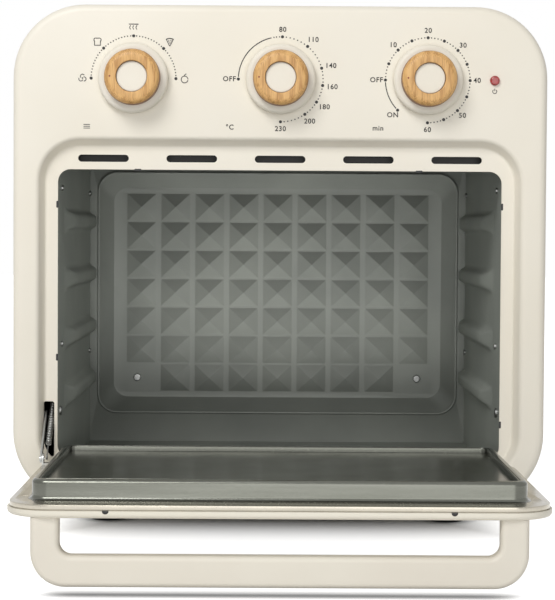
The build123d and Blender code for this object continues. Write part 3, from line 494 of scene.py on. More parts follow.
finishes["cream_paint"] = plainFinish("enamel", enamelLook)
finishes["beech_wood"] = wood()
finishes["polished_steel"] = plainFinish("polishedSheet", polishedLook)
finishes["tinted_glass"] = darkGlass()
finishes["red_lens"] = redLens()
# The wrapper, rear cover and ceiling finishes, and the fascia finish below, have near-black painted shade on
# the faces that look into the case
ownFinishes = {"case_wrapper": plainFinish("enamelWrapper", enamelLook, "within"),
               "rear_cover": plainFinish("enamelRear", enamelLook, "ahead"),
               "cavity_ceiling": plainFinish("coatingCeiling", coatingLook, "ahead"),
               "handle": plainFinish("handleCreamShaded", handleShadedLook)}
fasciaFinish = plainFinish("enamelFascia", enamelLook, "behind")
wallLitFinish = plainFinish("coatingWallLit", wallLitLook)
ringDimmedFinish = plainFinish("ringSteelDimmed", ringDimmedLook)
doorShadedFinish = plainFinish("enamelDoorShaded", doorShadedLook)
for part in frame["record"]["subparts"]:
    node = nodes[part["node"]]
    for slotInNode in node.material_slots:
        slotInNode.material = ownFinishes.get(part["node"], finishes[part["material_slot"]])
print("materials ready:", len(finishes))


# Fascia, a merged copy shaded smoothly over its rounded edges
def addFascia():
    finish(copyOf("front_fascia", "fascia"), "case", "cream_paint", ["front_fascia"], 30, fasciaFinish)


# Back wall of the cavity: a beaded pan with rows of pyramids
def addBackWall():
    back = {"panSide": 6.5, "panLow": 22, "panHigh": 15, "radius": 15, "depth": 9, "slope": 12, "bead": 1.1,
            "columns": 9, "rows": 7, "gridSide": 8, "gridEnd": 4.05, "rise": 4.6, "joint": 0.6,
            "narrow": 0.89, "lip": 2.6, "lipDrop": 0.3, "soft": 0.45, "sheet": 0.8}
    low, high = localBox("cavity_back")
    y = low.y
    left, right = low.x + back["panSide"], high.x - back["panSide"]
    bottom, top = low.z + back["panLow"], high.z - back["panHigh"]
    midX, midZ = (left + right) / 2, (bottom + top) / 2
    facing = (math.pi / 2, 0, 0)
    pan = roundedPanel("backWall", (midX, y, midZ), right - left, top - bottom, back["radius"], facing)
    bead = curveSteps(back["bead"], 0, back["bead"], 180, 20, 5)
    followProfile(pan, [(0, 0)] + bead[1:] + [(back["lip"], -back["lipDrop"])])
    bpy.ops.mesh.extrude_region_move(TRANSFORM_OT_translate={"value": (0, back["depth"] * mm, 0)})
    wide = (right - left - 2 * back["slope"]) / (right - left - 2 * back["lip"])
    tall = (top - bottom - 2 * back["slope"]) / (top - bottom - 2 * back["lip"])
    bpy.ops.transform.resize(value=(wide, 1, tall), center_override=world(midX, y, midZ))
    bpy.ops.mesh.delete(type="FACE")
    leave()
    sheetX, sheetZ = middleOf("cavity_back")[::2]
    rim = roundedPanel("rim", (sheetX, y, sheetZ), high.x - low.x, high.z - low.z, 0, facing)
    editAll(rim)
    bpy.ops.mesh.delete(type="ONLY_FACE")
    leave()
    gridWide = right - left - 2 * (back["slope"] + back["gridSide"])
    gridTall = top - bottom - 2 * (back["slope"] + back["gridEnd"])
    floorY = max(v.co.y for v in pan.data.vertices)
    leave()
    bpy.ops.mesh.primitive_grid_add(x_subdivisions=back["columns"], y_subdivisions=back["rows"], size=1,
                                    location=(midX * mm, floorY, world(0, 0, midZ).z), rotation=facing)
    grid = bpy.context.object
    grid.scale = (gridWide * mm, gridTall * mm, 1)
    settle(grid)
    lowRow = world(0, 0, midZ - gridTall / 2 + gridTall / back["rows"]).z
    endColumn = (gridWide / 2 - gridWide / back["columns"]) * mm

    def raised(face):
        return not (face.center.z < lowRow and abs(face.center.x) > endColumn)
    pick(grid, raised)
    bpy.ops.mesh.inset(thickness=back["joint"] * mm, use_individual=True)
    leave()
    cells = {face.index for face in grid.data.polygons if face.select}
    for column in range(back["columns"]):
        x = midX + (column - (back["columns"] - 1) / 2) * gridWide / back["columns"]
        pick(grid, lambda face: face.index in cells and abs(face.center.x / mm - x) < 1)
        bpy.ops.transform.resize(value=(back["narrow"], 1, 1), center_override=world(x, 0, midZ))
    pick(grid, lambda face: face.index in cells)
    bpy.ops.mesh.poke(offset=back["rise"] * mm, center_mode="MEDIAN")
    leave()
    wall = joinAll([pan, rim, grid], "backWall")
    edit(wall, "EDGE")
    bpy.ops.mesh.select_all(action="DESELECT")
    bpy.ops.mesh.select_non_manifold(extend=False, use_wire=False, use_boundary=True, use_multi_face=False,
                                     use_non_contiguous=False, use_verts=False)
    leave()
    border = {tuple(edge.vertices) for edge in wall.data.edges if edge.select}
    for atFloor in (True, False):  # joins the grid to the pan, then the pan to the rim

        def isOpen(edge):
            ends = [wall.data.vertices[i].co for i in edge.vertices]
            free = tuple(edge.vertices) in border or edge.is_loose
            return free and all((abs(co.y - floorY) < 1e-6) == atFloor for co in ends)
        pick(wall, isOpen, "EDGE")
        bpy.ops.mesh.bridge_edge_loops()
    turnForward(wall)
    roundEdges(wall, back["soft"], 2, 12)
    addModifier(wall, "SOLIDIFY", thickness=back["sheet"] * mm, offset=-1)
    finish(wall, "case", "cavity_coating", ["cavity_back"], 25)


def turnForward(piece):  # an open sheet in the cavity's back, with its faces to the front
    editAll(piece)
    bpy.ops.mesh.remove_doubles(threshold=1e-6)
    bpy.ops.mesh.normals_make_consistent(inside=False)
    leave()
    if sum(face.normal.y * face.area for face in piece.data.polygons) > 0:
        editAll(piece)
        bpy.ops.mesh.flip_normals()
        leave()


# Side walls with four pressed guides that fade towards the front
def addSideWall(name, side):
    wall = {"guides": 4, "aboveFloor": 51, "belowCeiling": 53, "half": 7, "front": 42, "rear": 8, "rise": 6,
            "slope": 3.2, "ramp": 26, "soft": 2.4, "sheet": 1, "rivetTail": 1.9}
    low, high = localBox(name)
    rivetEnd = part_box("cavity_rivets")[1].x / mm
    inner = side * (rivetEnd - wall["rivetTail"])  # the wall's own face, behind the rivet tails
    frontEnd, rearEnd = low.y + wall["front"], high.y - wall["rear"]
    turn = (0, -side * math.pi / 2, 0)
    piece = roundedPanel(name + "Pressed", [inner] + middleOf(name)[1:], high.z - low.z,
                         high.y - low.y, 0, turn)
    lowest = low.z + wall["aboveFloor"]
    pitch = (high.z - wall["belowCeiling"] - lowest) / (wall["guides"] - 1)
    cuts = [((0, frontEnd, 0), (0, 1, 0)), ((0, rearEnd, 0), (0, 1, 0))]
    heights = [lowest + n * pitch for n in range(wall["guides"])]
    for z in heights:
        cuts += [((0, 0, z - wall["half"]), (0, 0, 1)), ((0, 0, z + wall["half"]), (0, 0, 1))]
    for spot, normal in cuts:
        editAll(piece)
        bpy.ops.mesh.bisect(plane_co=world(*spot), plane_no=normal)

    def isGuide(face):
        z = (face.center.z - baseZ) / mm
        y = (face.center.y - frontY) / mm
        return frontEnd < y < rearEnd and any(abs(z - h) < wall["half"] for h in heights)
    pick(piece, isGuide)
    bpy.ops.mesh.inset(thickness=wall["slope"] * mm, depth=wall["rise"] * mm, use_individual=True)
    middle = world(0, (frontEnd + rearEnd) / 2, 0).y

    def frontOfTop(vert):
        return abs(vert.co.x - inner * mm) > wall["rise"] * mm / 2 and vert.co.y < middle
    pick(piece, frontOfTop, "VERT")
    bpy.ops.transform.translate(value=(0, wall["ramp"] * mm, 0))
    leave()
    roundEdges(piece, wall["soft"], 4, 8)
    addModifier(piece, "SOLIDIFY", thickness=wall["sheet"] * mm, offset=-1)
    # the side walls take the lighter copy of the coating, painted light
    finish(piece, "case", "cavity_coating", [name], 40, wallLitFinish)


# Raised ring on the door: flared base, rolled top, grooved land and inner lip
def addRing():
    ring = {"flare": 2.2, "roll": 2.6, "land": 5.5, "groove": 0.5, "grooveAt": 3.7, "edge": 0.8, "radius": 9,
            "grooveSteps": ((0, 0), (0.25, 1), (0.6, 1), (0.85, 0)), "lift": 0.05, "lipLap": 0.1,
            "wall": 0.7}
    low, high = localBox("door_ring")
    lip = localBox("door_glass")[1].z
    rise = high.z - low.z
    flare, roll, land, edge = ring["flare"], ring["roll"], ring["land"], ring["edge"]
    spot = middleOf("door_ring")[:2] + [low.z + ring["lift"]]
    piece = roundedPanel("ringPressed", spot, high.x - low.x + 2 * flare, high.y - low.y + 2 * flare,
                         ring["radius"] + flare, (0, 0, 0), 12)
    points = curveSteps(0, flare, flare, -90, 0, 6)
    points += curveSteps(flare + roll, rise - roll, roll, 180, 90, 7)
    grooveAt = flare + ring["grooveAt"]
    points += [(grooveAt + along, rise - deep * ring["groove"]) for along, deep in ring["grooveSteps"]]
    points += curveSteps(flare + land - edge, rise - edge, edge, 90, 0, 4)
    points += [(flare + land, lip - low.z + ring["lipLap"])]
    followProfile(piece, points)
    bpy.ops.mesh.delete(type="FACE")
    leave()
    addModifier(piece, "SOLIDIFY", thickness=ring["wall"] * mm, offset=-1)
    # the ring takes the dimmed steel, a painted darker reflection
    finish(piece, "door", "polished_steel", ["door_ring"], 40, ringDimmedFinish)


# Door plate and rim, with the small slots and notches cut into them, and a dark half-disc of painted shade in
# each notch
def doorPanel(inset, z):  # plan of the door as a flat face, with larger corners at the hinge
    corner = {"free": 25, "hinge": 30}
    low, high = localBox("door_frame")
    x, y = middleOf("door_frame")[:2]
    piece = roundedPanel("panel", (x, y, z), high.x - low.x - 2 * inset,
                         high.y - low.y - 2 * inset, 0, (0, 0, 0))
    middle = world(0, y, 0).y
    for radius, free in ((corner["free"], True), (corner["hinge"], False)):
        pick(piece, lambda vert: (vert.co.y < middle) == free, "VERT")
        bpy.ops.mesh.bevel(offset=(radius - inset) * mm, segments=12, affect="VERTICES", profile=0.5)
    leave()
    return piece


def addDoorSheets():
    sheets = {"margin": 1.2, "sheet": 0.8, "skirt": 2.6, "gap": 0.5, "lap": 6.5, "holeRadius": 2.5,
              "slotX": 142, "slotY": -165, "slotLength": 4.6, "slotWidth": 1.1, "notchX": 94,
              "notchRadius": 1.8, "notchReach": 3, "shadeDeep": 0.9, "shadeThick": 0.4, "shadeEdge": 0.08,
              "slotShy": 0.01, "outside": 5, "play": 0.05, "edge": 0.3, "past": 1}
    top = localBox("door_inner_plate")[1].z
    skirt, margin, sheet = sheets["skirt"], sheets["margin"], sheets["sheet"]
    past = sheets["past"]  # how far a cutter goes past what it cuts
    tray = thicken(doorPanel(margin, top), z=-skirt)
    tray.name = "innerPlate"
    low, high = localBox("door_ring")
    spot = middleOf("door_ring")[:2] + [top - skirt - past]
    hole = roundedPanel("hole", spot, high.x - low.x - 2 * sheets["lap"], high.y - low.y - 2 * sheets["lap"],
                        sheets["holeRadius"], (0, 0, 0))
    cutWith(tray, thicken(hole, z=skirt + 2 * past))
    cutWith(tray, thicken(doorPanel(margin + sheet, top - sheet), z=-skirt))
    width = sheets["slotWidth"]
    for side in (-1, 1):
        spot = (side * sheets["slotX"], sheets["slotY"], top - 2 * past)
        slot = roundedPanel("slot", spot, sheets["slotLength"], width, width / 2 - sheets["slotShy"],
                            (0, 0, 0), 6)
        cutWith(tray, thicken(slot, z=4 * past))
    roundEdges(tray, sheets["edge"], 3, 50)
    finish(tray, "door", "polished_steel", ["door_inner_plate"], 40)
    rim = copyOf("door_frame", "doorRim")
    low, high = localBox("door_frame")
    seat = top - skirt - sheets["gap"]
    rabbet = thicken(doorPanel(-sheets["outside"], seat), z=skirt + 2 * past)
    inner = doorPanel(margin + sheet + sheets["play"], seat - past)
    cutWith(rabbet, thicken(inner, z=skirt + 4 * past))
    cutWith(rim, rabbet)
    shades = []
    for side in (-1, 1):
        radius, x = sheets["notchRadius"], side * sheets["notchX"]
        cutWith(rim, disc(x, low.y, seat, radius, 2 * sheets["notchReach"]))
        # a dark half-disc at the back of each notch: painted shade
        shade = disc(x, low.y + sheets["shadeDeep"], seat, radius - sheets["play"], sheets["shadeThick"])
        editAll(shade)
        bpy.ops.mesh.bisect(plane_co=world(0, 0, seat), plane_no=(0, 0, 1), clear_outer=True, use_fill=True)
        roundEdges(shade, sheets["shadeEdge"], 2)
        shades.append(shade)
    finish(joinAll(shades, "rimNotches"), "door", "dark_plastic", smooth=30)
    # the rim takes the darker copy of the enamel, painted shade
    finish(rim, "door", "cream_paint", ["door_frame"], 30, doorShadedFinish)


# Screws with a cross recess
cross = {"size": 3.6, "deep": 1.6, "slim": 0.22}


def crossCut(piece, x, y, z):
    for turn in (0, 90):
        leave()
        bpy.ops.mesh.primitive_cube_add(size=1, location=world(x, y, z), rotation=(0, math.radians(turn), 0))
        cutter = bpy.context.object
        cutter.scale = (cross["size"] * mm, cross["deep"] * mm, cross["size"] * cross["slim"] * mm)
        settle(cutter)
        cutWith(piece, cutter)


def addScrews():
    head = {"radius": 3.2, "columnX": 80}
    low, high = localBox("cavity_back_screws")
    radius, panY = (high.z - low.z) / 2, low.y
    panSpots = [(side * (high.x - radius), (low.z + high.z) / 2) for side in (-1, 1)]
    low, high = localBox("rear_screws")
    rearSpots = [(side * (high.x - head["radius"]), (low.z + high.z) / 2) for side in (-1, 1)]
    for z in (low.z + head["radius"], high.z - head["radius"]):
        rearSpots += [(side * head["columnX"], z) for side in (-1, 1)]
    for node, name, y, spots in (("cavity_back_screws", "panScrews", panY, panSpots),
                                 ("rear_screws", "rearScrews", high.y, rearSpots)):
        piece = copyOf(node, name)
        for x, z in spots:
            crossCut(piece, x, y, z)
        finish(piece, "case", "zinc_steel", [node], 30)


# Knobs: knurled skirts and turned wood rings
def addKnob(name, body):
    knob = {"bore": 7.2, "back": -0.9, "edge": 0.8, "round": 3.1, "knurl": 0.28, "steps": 144, "band": 0.05,
            "capLap": 0.2, "woodFillet": 4.4, "woodEdge": 0.7, "woodSteps": 96, "sunk": 0.05, "clear": 0.12,
            "dotAt": 13.7, "dotRadius": 0.55, "dotSunk": 0.15, "dotThick": 0.5, "dotEdge": 0.1}
    low, high = localBox(name + "_knob")
    woodLow, woodHigh = localBox(name + "_knob_wood_ring")
    capLow, capHigh = localBox(name + "_knob_cap")
    x, z = middleOf(name + "_knob")[::2]
    outer, seat = (high.x - low.x) / 2, woodHigh.y
    woodOuter, woodFront = (woodHigh.x - woodLow.x) / 2, woodLow.y
    capOuter = (capHigh.x - capLow.x) / 2
    back, edge, curve = knob["back"], knob["edge"], knob["round"]
    profile = [(knob["bore"], back), (outer - edge, back), (outer, back - edge)]
    profile += curveSteps(outer - curve, seat + curve, curve, 0, -90, 6)
    seatEdge = capOuter - knob["capLap"]
    profile += [(seatEdge, seat), (seatEdge, capHigh.y), (knob["bore"], capHigh.y)]
    skirt = lathe(name + "Skirt", (x, 0, z), profile, knob["steps"])
    step = 2 * math.pi / knob["steps"]
    centre = world(x, 0, z)

    def isGroove(vert):
        across, up = vert.co.x - centre.x, vert.co.z - centre.z
        index = round(math.atan2(up, across) / step)
        return index % 2 == 0 and math.hypot(across, up) > (outer - knob["band"]) * mm
    pick(skirt, isGroove, "VERT")
    shrink = (outer - knob["knurl"]) / outer
    bpy.ops.transform.resize(value=(shrink, 1, shrink), center_override=centre)
    finish(skirt, body, "cream_plastic", [name + "_knob"], 28)
    fillet, edge, inner = knob["woodFillet"], knob["woodEdge"], capOuter + knob["clear"]
    profile = [(inner, seat - knob["sunk"]), (woodOuter, seat - knob["sunk"])]
    profile += curveSteps(woodOuter - fillet, woodFront + fillet, fillet, 0, -90, 8)
    profile += curveSteps(inner + edge, woodFront + edge, edge, -90, -180, 4)
    ring = lathe(name + "WoodRing", (x, 0, z), profile, knob["woodSteps"])
    finish(ring, body, "beech_wood", [name + "_knob_wood_ring"], 40)
    dot = disc(x - knob["dotAt"], woodFront + knob["dotSunk"], z, knob["dotRadius"], knob["dotThick"], 20)
    dot.name = name + "Pointer"
    roundEdges(dot, knob["dotEdge"], 2)
    finish(dot, body, "beech_wood", own=pointerFinish)


# Printed dial marks, each a thin raised print
printing = {"height": 0.05, "front": -0.07, "spacing": 1.12, "weight": 0.07}


def printed(piece):
    return thicken(piece, y=-printing["height"])


def dotMark(x, z, radius):
    leave()
    bpy.ops.mesh.primitive_circle_add(radius=radius * mm, vertices=16, fill_type="NGON",
                                      location=world(x, printing["front"], z), rotation=(math.pi / 2, 0, 0))
    settle(bpy.context.object)
    return printed(bpy.context.object)


def barMark(x, z, length, width, degrees=0):
    turn = (math.pi / 2, -math.radians(degrees), 0)
    return printed(roundedPanel("bar", (x, printing["front"], z), length, width, width * 0.4, turn, 3))


def arcMark(x, z, radius, start, end, width):
    a = math.radians(start)
    piece = onePoint(world(x + radius * math.cos(a), printing["front"], z + radius * math.sin(a)))
    move = (width * math.cos(a) * mm, 0, width * math.sin(a) * mm)
    bpy.ops.mesh.extrude_region_move(TRANSFORM_OT_translate={"value": move})
    bpy.ops.mesh.select_all(action="SELECT")
    steps = max(6, int(abs(end - start) / 4))
    bpy.ops.mesh.spin(steps=steps, angle=math.radians(end - start), center=world(x, printing["front"], z),
                      axis=(0, 1, 0))
    bpy.ops.mesh.select_all(action="SELECT")
    bpy.ops.mesh.remove_doubles(threshold=1e-7)
    return printed(piece)


def textMark(x, z, words):
    leave()
    bpy.ops.object.text_add(location=(0, 0, 0))
    piece = bpy.context.object
    piece.data.body = words
    piece.data.align_x = "CENTER"
    piece.data.align_y = "CENTER"
    piece.data.size = marks["text"] * mm
    piece.data.space_character = printing["spacing"]
    piece.data.resolution_u = 4
    piece.data.offset = printing["weight"] * mm
    only(piece)
    bpy.ops.object.convert(target="MESH")
    piece = bpy.context.object
    piece.rotation_euler = (math.pi / 2, 0, 0)
    piece.location = world(x, printing["front"], z)
    settle(piece)
    return printed(piece)


marks = {"circle": 26.9, "large": 1.0, "small": 0.42, "label": 31.4, "text": 4.4, "line": 0.62,
         "picture": 1.25, "pictureCircle": 32.4, "sideways": 1.6, "off": 32.6, "on": 31.3,
         "captionsBelow": 30.6, "degreesAcross": 32.2, "minutesAcross": 31.4}


def dialPlace(centre, degrees, radius):
    a = math.radians(degrees)
    return centre[0] + radius * math.cos(a), centre[1] + radius * math.sin(a)


def dialDot(centre, degrees, size):
    return dotMark(*dialPlace(centre, degrees, marks["circle"]), marks[size])


def dialLine(centre, start, end):
    return arcMark(*centre, marks["circle"] - marks["line"] / 2, start, end, marks["line"])


def dialText(centre, degrees, radius, words):
    return textMark(*dialPlace(centre, degrees, radius), words)


def scaleMarks(centre, large, between):  # large dots at the given angles, small ones between them
    made = []
    for n, angle in enumerate(large):
        made.append(dialDot(centre, angle, "large"))
        if n == len(large) - 1:
            break
        count = between[n]
        for k in range(1, count + 1):
            at = angle + (large[n + 1] - angle) * k / (count + 1)
            made.append(dialDot(centre, at, "small"))
    return made


def addPrint(pieces, name):
    joined = joinAll(pieces, name)
    finish(joined, "case", "dark_plastic", smooth=0, own=inkFinish)


def picture(pieces, x, z):  # one small picture, joined and brought to its size about its middle
    joined = joinAll(pieces, "picture")
    editAll(joined)
    size = marks["picture"]
    bpy.ops.transform.resize(value=(size, 1, size), center_override=world(x, printing["front"], z))
    leave()
    return joined


# The pictures are drawn about their middle: places and lengths, then the width of the line
def fanPicture(x, z):
    made = [dotMark(x, z, 0.4)]
    for turn in (90, 210, 330):  # three blades round a hub
        a = math.radians(turn)
        made.append(arcMark(x + 0.9 * math.cos(a), z + 0.9 * math.sin(a), 0.85, turn - 60, turn + 130, 0.4))
    return picture(made, x, z)


def breadPicture(x, z):
    made = [barMark(x, z - 1.7, 3.3, 0.4), barMark(x, z + 1.9, 1.9, 0.4)]
    for side in (-1, 1):
        made.append(barMark(x + side * 1.5, z - 0.5, 2.4, 0.4, 90))
        made.append(arcMark(x + side * 0.9, z + 1.0, 0.75, 90 - side * 130, 90, 0.4))
    return picture(made, x, z)


def grillPicture(x, z):
    made = [barMark(x, z + 1.5, 5.0, 0.45)]
    for n in (-1, 0, 1):  # heat falling from a bar
        made.append(barMark(x + n * 1.6 - 0.25, z + 0.4, 1.2, 0.38, 60))
        made.append(barMark(x + n * 1.6 - 0.25, z - 0.7, 1.2, 0.38, 120))
    return picture(made, x, z)


def wedgePicture(x, z):
    made = [barMark(x - 0.95, z - 0.1, 4.0, 0.4, 116), barMark(x + 0.95, z - 0.1, 4.0, 0.4, 64)]
    made.append(arcMark(x, z - 1.9, 3.6, 60, 120, 0.5))
    for across, up in ((-0.5, 0.7), (0.6, 0.8), (0.1, -0.3)):  # toppings
        made.append(dotMark(x + across, z + up, 0.32))
    return picture(made, x, z)


def fruitPicture(x, z):
    made = [arcMark(x, z - 0.4, 1.5, 0, 350, 0.4), arcMark(x + 1.0, z + 1.3, 0.9, 95, 180, 0.4)]
    return picture(made, x, z)


def modePictures(centre):
    makers = {180: fanPicture, 135: breadPicture, 90: grillPicture, 45: wedgePicture, 0: fruitPicture}
    return [make(*dialPlace(centre, angle, marks["pictureCircle"])) for angle, make in makers.items()]


def addMarks():
    dial = {name: middleOf(name + "_knob_cap")[::2] for name in ("function", "temperature", "timer")}
    centre = dial["function"]
    pieces = scaleMarks(centre, [180, 135, 90, 45, 0], [10] * 4) + modePictures(centre)
    bars = {"across": 29.6, "below": 30.5, "pitch": 1.15, "length": 4.2, "width": 0.45}
    for n in (-1, 0, 1):  # under the dial, three bars for the choice of mode
        pieces.append(barMark(centre[0] - bars["across"], centre[1] - bars["below"] + n * bars["pitch"],
                              bars["length"], bars["width"]))
    addPrint(pieces, "functionMarks")
    centre = dial["temperature"]
    degreesAt = [88, 51, 15.5, -8, -32, -55, -90]
    pieces = scaleMarks(centre, degreesAt, [6, 6, 4, 4, 4, 6])
    pieces.append(dialDot(centre, 180, "large"))
    pieces.append(dialLine(centre, 177, 103))
    for angle in (99.5, 96, 92):
        pieces.append(dialDot(centre, angle, "small"))
    for angle, words in zip(degreesAt, ["80", "110", "140", "160", "180", "200", "230"]):
        reach = marks["label"] + marks["sideways"] * abs(math.cos(math.radians(angle)))
        pieces.append(dialText(centre, angle, reach, words))
    pieces.append(dialText(centre, 180, marks["off"], "OFF"))
    below = marks["captionsBelow"]
    pieces.append(textMark(centre[0] - marks["degreesAcross"], centre[1] - below, "°C"))
    addPrint(pieces, "temperatureMarks")
    centre = dial["timer"]
    large = [180 - 22.5 * n for n in range(13)]
    pieces = scaleMarks(centre, large, [4] * 12)
    pieces.append(dialDot(centre, -135, "large"))
    pieces.append(dialLine(centre, 183, 222))
    for n in range(1, 7):
        pieces.append(dialText(centre, 180 - 45 * n, marks["label"], str(10 * n)))
    pieces.append(dialText(centre, 180, marks["off"], "OFF"))
    pieces.append(dialText(centre, -135, marks["on"], "ON"))
    pieces.append(textMark(centre[0] - marks["minutesAcross"], centre[1] - below, "min"))
    addPrint(pieces, "timerMarks")
    power = {"below": 6.8, "radius": 1.1, "line": 0.42, "barUp": 1.0, "bar": 1.7}
    x, z = middleOf("power_lamp_lens")[::2]
    z -= power["below"]
    pieces = [arcMark(x, z, power["radius"], 125, 415, power["line"]),
              barMark(x, z + power["barUp"], power["bar"], power["line"], 90)]
    addPrint(pieces, "powerMark")


# Door spring: an open coil with a ring at each end
def addSpring():
    spring = {"hook": 13.0, "tail": 9.0, "radius": 1.6, "wire": 0.38, "pitch": 1.5, "ring": 1.45, "lap": 0.3}
    start = jointPlace("link_pivot")
    low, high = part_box("hinge_spring")
    anchorLow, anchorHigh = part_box("spring_anchor")
    anchor = (anchorLow + anchorHigh) / 2
    x = (low.x + high.x) / 2
    start.x = x
    anchor.x = x
    along = anchor - start
    length = along.length
    direction = along.normalized()
    coilRadius = spring["radius"] * mm
    coilLength = length - (spring["hook"] + spring["tail"]) * mm
    leave()
    bpy.ops.mesh.primitive_circle_add(radius=spring["wire"] * mm, vertices=8, location=(coilRadius, 0, 0),
                                      rotation=(math.pi / 2, 0, 0))
    coil = bpy.context.object
    settle(coil)
    addModifier(coil, "SCREW", axis="Z", screw_offset=spring["pitch"] * mm, steps=14, render_steps=14,
                iterations=int(coilLength / mm / spring["pitch"]), use_merge_vertices=False)
    pieces = [coil]
    for at, reach in ((0.0, spring["hook"]), (length / mm, -spring["tail"])):
        leave()
        end = at + math.copysign(spring["ring"], reach)
        bpy.ops.mesh.primitive_torus_add(major_radius=spring["ring"] * mm, minor_radius=spring["wire"] * mm,
                                         major_segments=28, minor_segments=8, rotation=(0, math.pi / 2, 0),
                                         location=(0, 0, (end if reach > 0 else at - spring["lap"]) * mm))
        settle(bpy.context.object)
        pieces.append(bpy.context.object)
        leave()
        stem = abs(reach) - 2 * spring["ring"]
        middle = at + math.copysign(2 * spring["ring"] + stem / 2 - spring["lap"], reach)
        bpy.ops.mesh.primitive_cylinder_add(radius=spring["wire"] * mm, vertices=10,
                                            depth=(stem + 4 * spring["lap"]) * mm,
                                            location=(0, 0, middle * mm))
        pieces.append(bpy.context.object)
    pieces[0].location = (0, 0, spring["hook"] * mm)
    piece = joinAll(pieces, "coilSpring")
    settle(piece)
    piece.rotation_mode = "QUATERNION"
    piece.rotation_quaternion = Vector((0, 0, 1)).rotation_difference(direction)
    piece.location = start
    settle(piece)
    turnOutward(piece)
    finish(piece, "door_link", "spring_steel", ["hinge_spring"], 60)
    hinge = jointPlace("door_hinge")
    hinge.x = x
    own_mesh(piece)


# Small folded tabs of the cavity walls where they pass the edge of the opening, near-black as painted shade
# in their slots
def addTabs():
    tab = {"long": 4.4, "wide": 1.3, "thick": 0.8, "corner": 0.5, "back": 7.95, "half": 142.4, "below": 0.2}
    half, top = tab["half"], localBox("cavity_ceiling")[0].z - tab["below"]
    places = [(-91, top, 0), (89, top, 0), (-half, 192, 90), (-half, 94, 90), (half, 192, 90), (half, 52, 90)]
    pieces = []
    for x, z, turn in places:
        piece = roundedPanel("tab", (x, tab["back"], z), tab["long"], tab["wide"], tab["corner"],
                             (math.pi / 2, math.radians(turn), 0), 4)
        pieces.append(thicken(piece, y=tab["thick"]))
    finish(joinAll(pieces, "wallTabs"), "case", "dark_plastic", smooth=30)


# Camera, floor and lamps
def addCamera():
    spot = {"x": -7.24, "ahead": 1267.8, "z": 177.12, "yaw": 0.2749, "pitch": 2.0455, "roll": 0.3604,
            "lens": 119.44}
    data = bpy.data.cameras.new("camera")
    data.lens = spot["lens"]
    data.sensor_width = 36
    camera = newObject("camera", data)
    turn = Matrix.Rotation(math.radians(-spot["yaw"]), 4, "Z")
    tip = Matrix.Rotation(math.radians(90 - spot["pitch"]), 4, "X")
    roll = Matrix.Rotation(math.radians(spot["roll"]), 4, "Z")
    place = Matrix.Translation(world(spot["x"], -spot["ahead"], spot["z"]))
    camera.matrix_world = place @ turn @ tip @ roll
    bpy.context.scene.camera = camera


def seenDirectly(tree):  # one for what the camera, a gloss or a glass shows
    path = tree.nodes.new("ShaderNodeLightPath")
    highest = path.outputs["Is Camera Ray"]
    for name in ("Is Glossy Ray", "Is Transmission Ray"):
        highest = combine(tree, "MAXIMUM", highest, path.outputs[name])
    return highest


def addFloor():
    ground = {"size": 14, "colour": 0.86, "rough": 0.9, "white": 0.97, "shadowFront": -18, "shadowDeep": 96,
              "shadowSide": 172, "soft": 70, "behind": 28, "contact": 12, "contactPower": 1.6}
    leave()
    bpy.ops.mesh.primitive_plane_add(size=ground["size"], location=(0, 0, 0))
    floor = bpy.context.object
    floor.name = "floor"
    material, tree, shader = startFinish("whiteFloor")
    shader.inputs["Roughness"].default_value = ground["rough"]
    shader.inputs["Emission Color"].default_value = (1, 1, 1, 1)
    # the glow fades away under and round the body: a painted shadow on the floor
    axes = axesOf(tree, "Object")
    soft, side, rearY = ground["soft"] * mm, ground["shadowSide"] * mm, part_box("rear_cover")[1].y
    ahead = fade(tree, axes["Y"], frontY + ground["shadowFront"] * mm, frontY + ground["shadowDeep"] * mm)
    forward = combine(tree, "MULTIPLY", axes["Y"], -1)
    behind = fade(tree, forward, -rearY - ground["behind"] * mm, soft - rearY)
    inward = combine(tree, "MULTIPLY", combine(tree, "ABSOLUTE", axes["X"], 0), -1)
    aside = fade(tree, inward, -side, soft - side)
    uncovered = combine(tree, "MAXIMUM", combine(tree, "MAXIMUM", ahead, behind), aside)
    # ambient occlusion darkens the floor's colour and glow near parts: a painted contact shadow
    near = tree.nodes.new("ShaderNodeAmbientOcclusion")
    near.inputs["Distance"].default_value = ground["contact"] * mm
    clear = combine(tree, "POWER", near.outputs["AO"], ground["contactPower"])
    pale = tree.nodes.new("ShaderNodeCombineColor")
    for socket in pale.inputs:
        tree.links.new(combine(tree, "MULTIPLY", clear, ground["colour"]), socket)
    tree.links.new(pale.outputs["Color"], shader.inputs["Base Color"])
    strength = combine(tree, "MULTIPLY", combine(tree, "MULTIPLY", uncovered, clear), ground["white"])
    shown = combine(tree, "MULTIPLY", strength, seenDirectly(tree))
    tree.links.new(shown, shader.inputs["Emission Strength"])
    floor.data.materials.append(material)


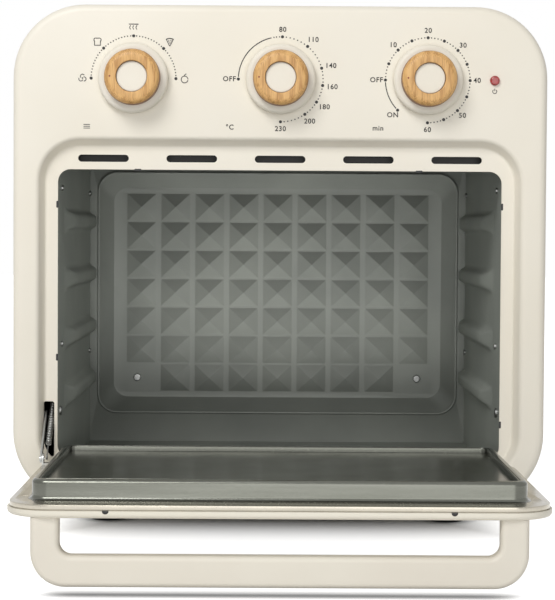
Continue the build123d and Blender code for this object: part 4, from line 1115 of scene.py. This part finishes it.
def addStudio():
    light = {"sky": 0.3, "backdrop": 1.0}
    studio = bpy.data.worlds.new("studio")
    bpy.context.scene.world = studio
    studio.use_nodes = True
    tree = studio.node_tree
    mix = tree.nodes.new("ShaderNodeMixShader")
    tree.links.new(seenDirectly(tree), mix.inputs[0])
    white = tree.nodes.new("ShaderNodeBackground")
    glows = (tree.nodes["Background"], light["sky"]), (white, light["backdrop"])
    for socket, (node, strength) in zip(mix.inputs[1:], glows):
        node.inputs["Color"].default_value = (1, 1, 1, 1)
        node.inputs["Strength"].default_value = strength
        tree.links.new(node.outputs["Background"], socket)
    tree.links.new(mix.outputs["Shader"], tree.nodes["World Output"].inputs["Surface"])
    lamps = {
        "key": {"from": (-500, -1100, 1150), "aim": (0, 60, 180), "wide": 0.6, "high": 0.6, "power": 11.8},
        "low": {"from": (60, -900, 110), "aim": (0, 255, 150), "wide": 0.9, "high": 0.12, "power": 6.0},
        "bounce": {"from": (0, 150, 22), "aim": (0, 250, 190), "wide": 0.27, "high": 0.02, "power": 0.11,
                   "spread": 85},
        "front": {"from": (150, -1500, 330), "aim": (0, 60, 140), "wide": 1.0, "high": 0.8, "power": 4.5}}
    for name, lamp in lamps.items():
        data = bpy.data.lights.new(name, "AREA")
        data.energy = lamp["power"]
        data.shape = "RECTANGLE"
        data.size = lamp["wide"]
        data.size_y = lamp["high"]
        data.spread = math.radians(lamp.get("spread", 180))
        piece = newObject(name, data)
        piece.visible_camera = False
        piece.visible_glossy = name not in ("low", "bounce")
        piece.location = world(*lamp["from"])
        aim = world(*lamp["aim"]) - piece.location
        piece.rotation_euler = aim.to_track_quat("-Z", "Y").to_euler()


def aimInside():  # the low and bounce lamps stand for light thrown about inside, and reach only the cavity
    reach = {"low": ["cavity_left_wallPressed", "cavity_right_wallPressed", "cavity_floor", "cavity_ceiling"],
             "bounce": ["backWall", "panScrews"]}
    for lampName, names in reach.items():
        group = bpy.data.collections.new(lampName + "Reach")
        for name in names:
            group.objects.link(bpy.data.objects[name] if name in bpy.data.objects else nodes[name])
        bpy.data.objects[lampName].light_linking.receiver_collection = group


pointerLook = {"colour": (140, 58, 40), "shade": (120, 46, 34), "patch": 500, "rough": (0.4, 0.5),
               "grain": 1500, "bump": 0.1}
inkLook = {"colour": (30, 28, 26), "shade": (24, 23, 21), "patch": 300, "rough": (0.5, 0.6),
           "grain": 1500, "bump": 0.05}
pointerFinish = plainFinish("pointerRed", pointerLook)
inkFinish = plainFinish("ink", inkLook)
addCamera()
addFloor()
addStudio()
print("stage ready")
addFascia()
addBackWall()
addSideWall("cavity_left_wall", -1)
addSideWall("cavity_right_wall", 1)
addTabs()
addScrews()
print("case and cavity ready")
addRing()
addDoorSheets()
print("door ready")
for name in ("function", "temperature", "timer"):
    addKnob(name, name + "_dial")
print("knobs ready")
addMarks()
print("dial marks ready")
addSpring()
print("spring ready")
aimInside()
leave()
bpy.context.scene.view_settings.view_transform = "Standard"
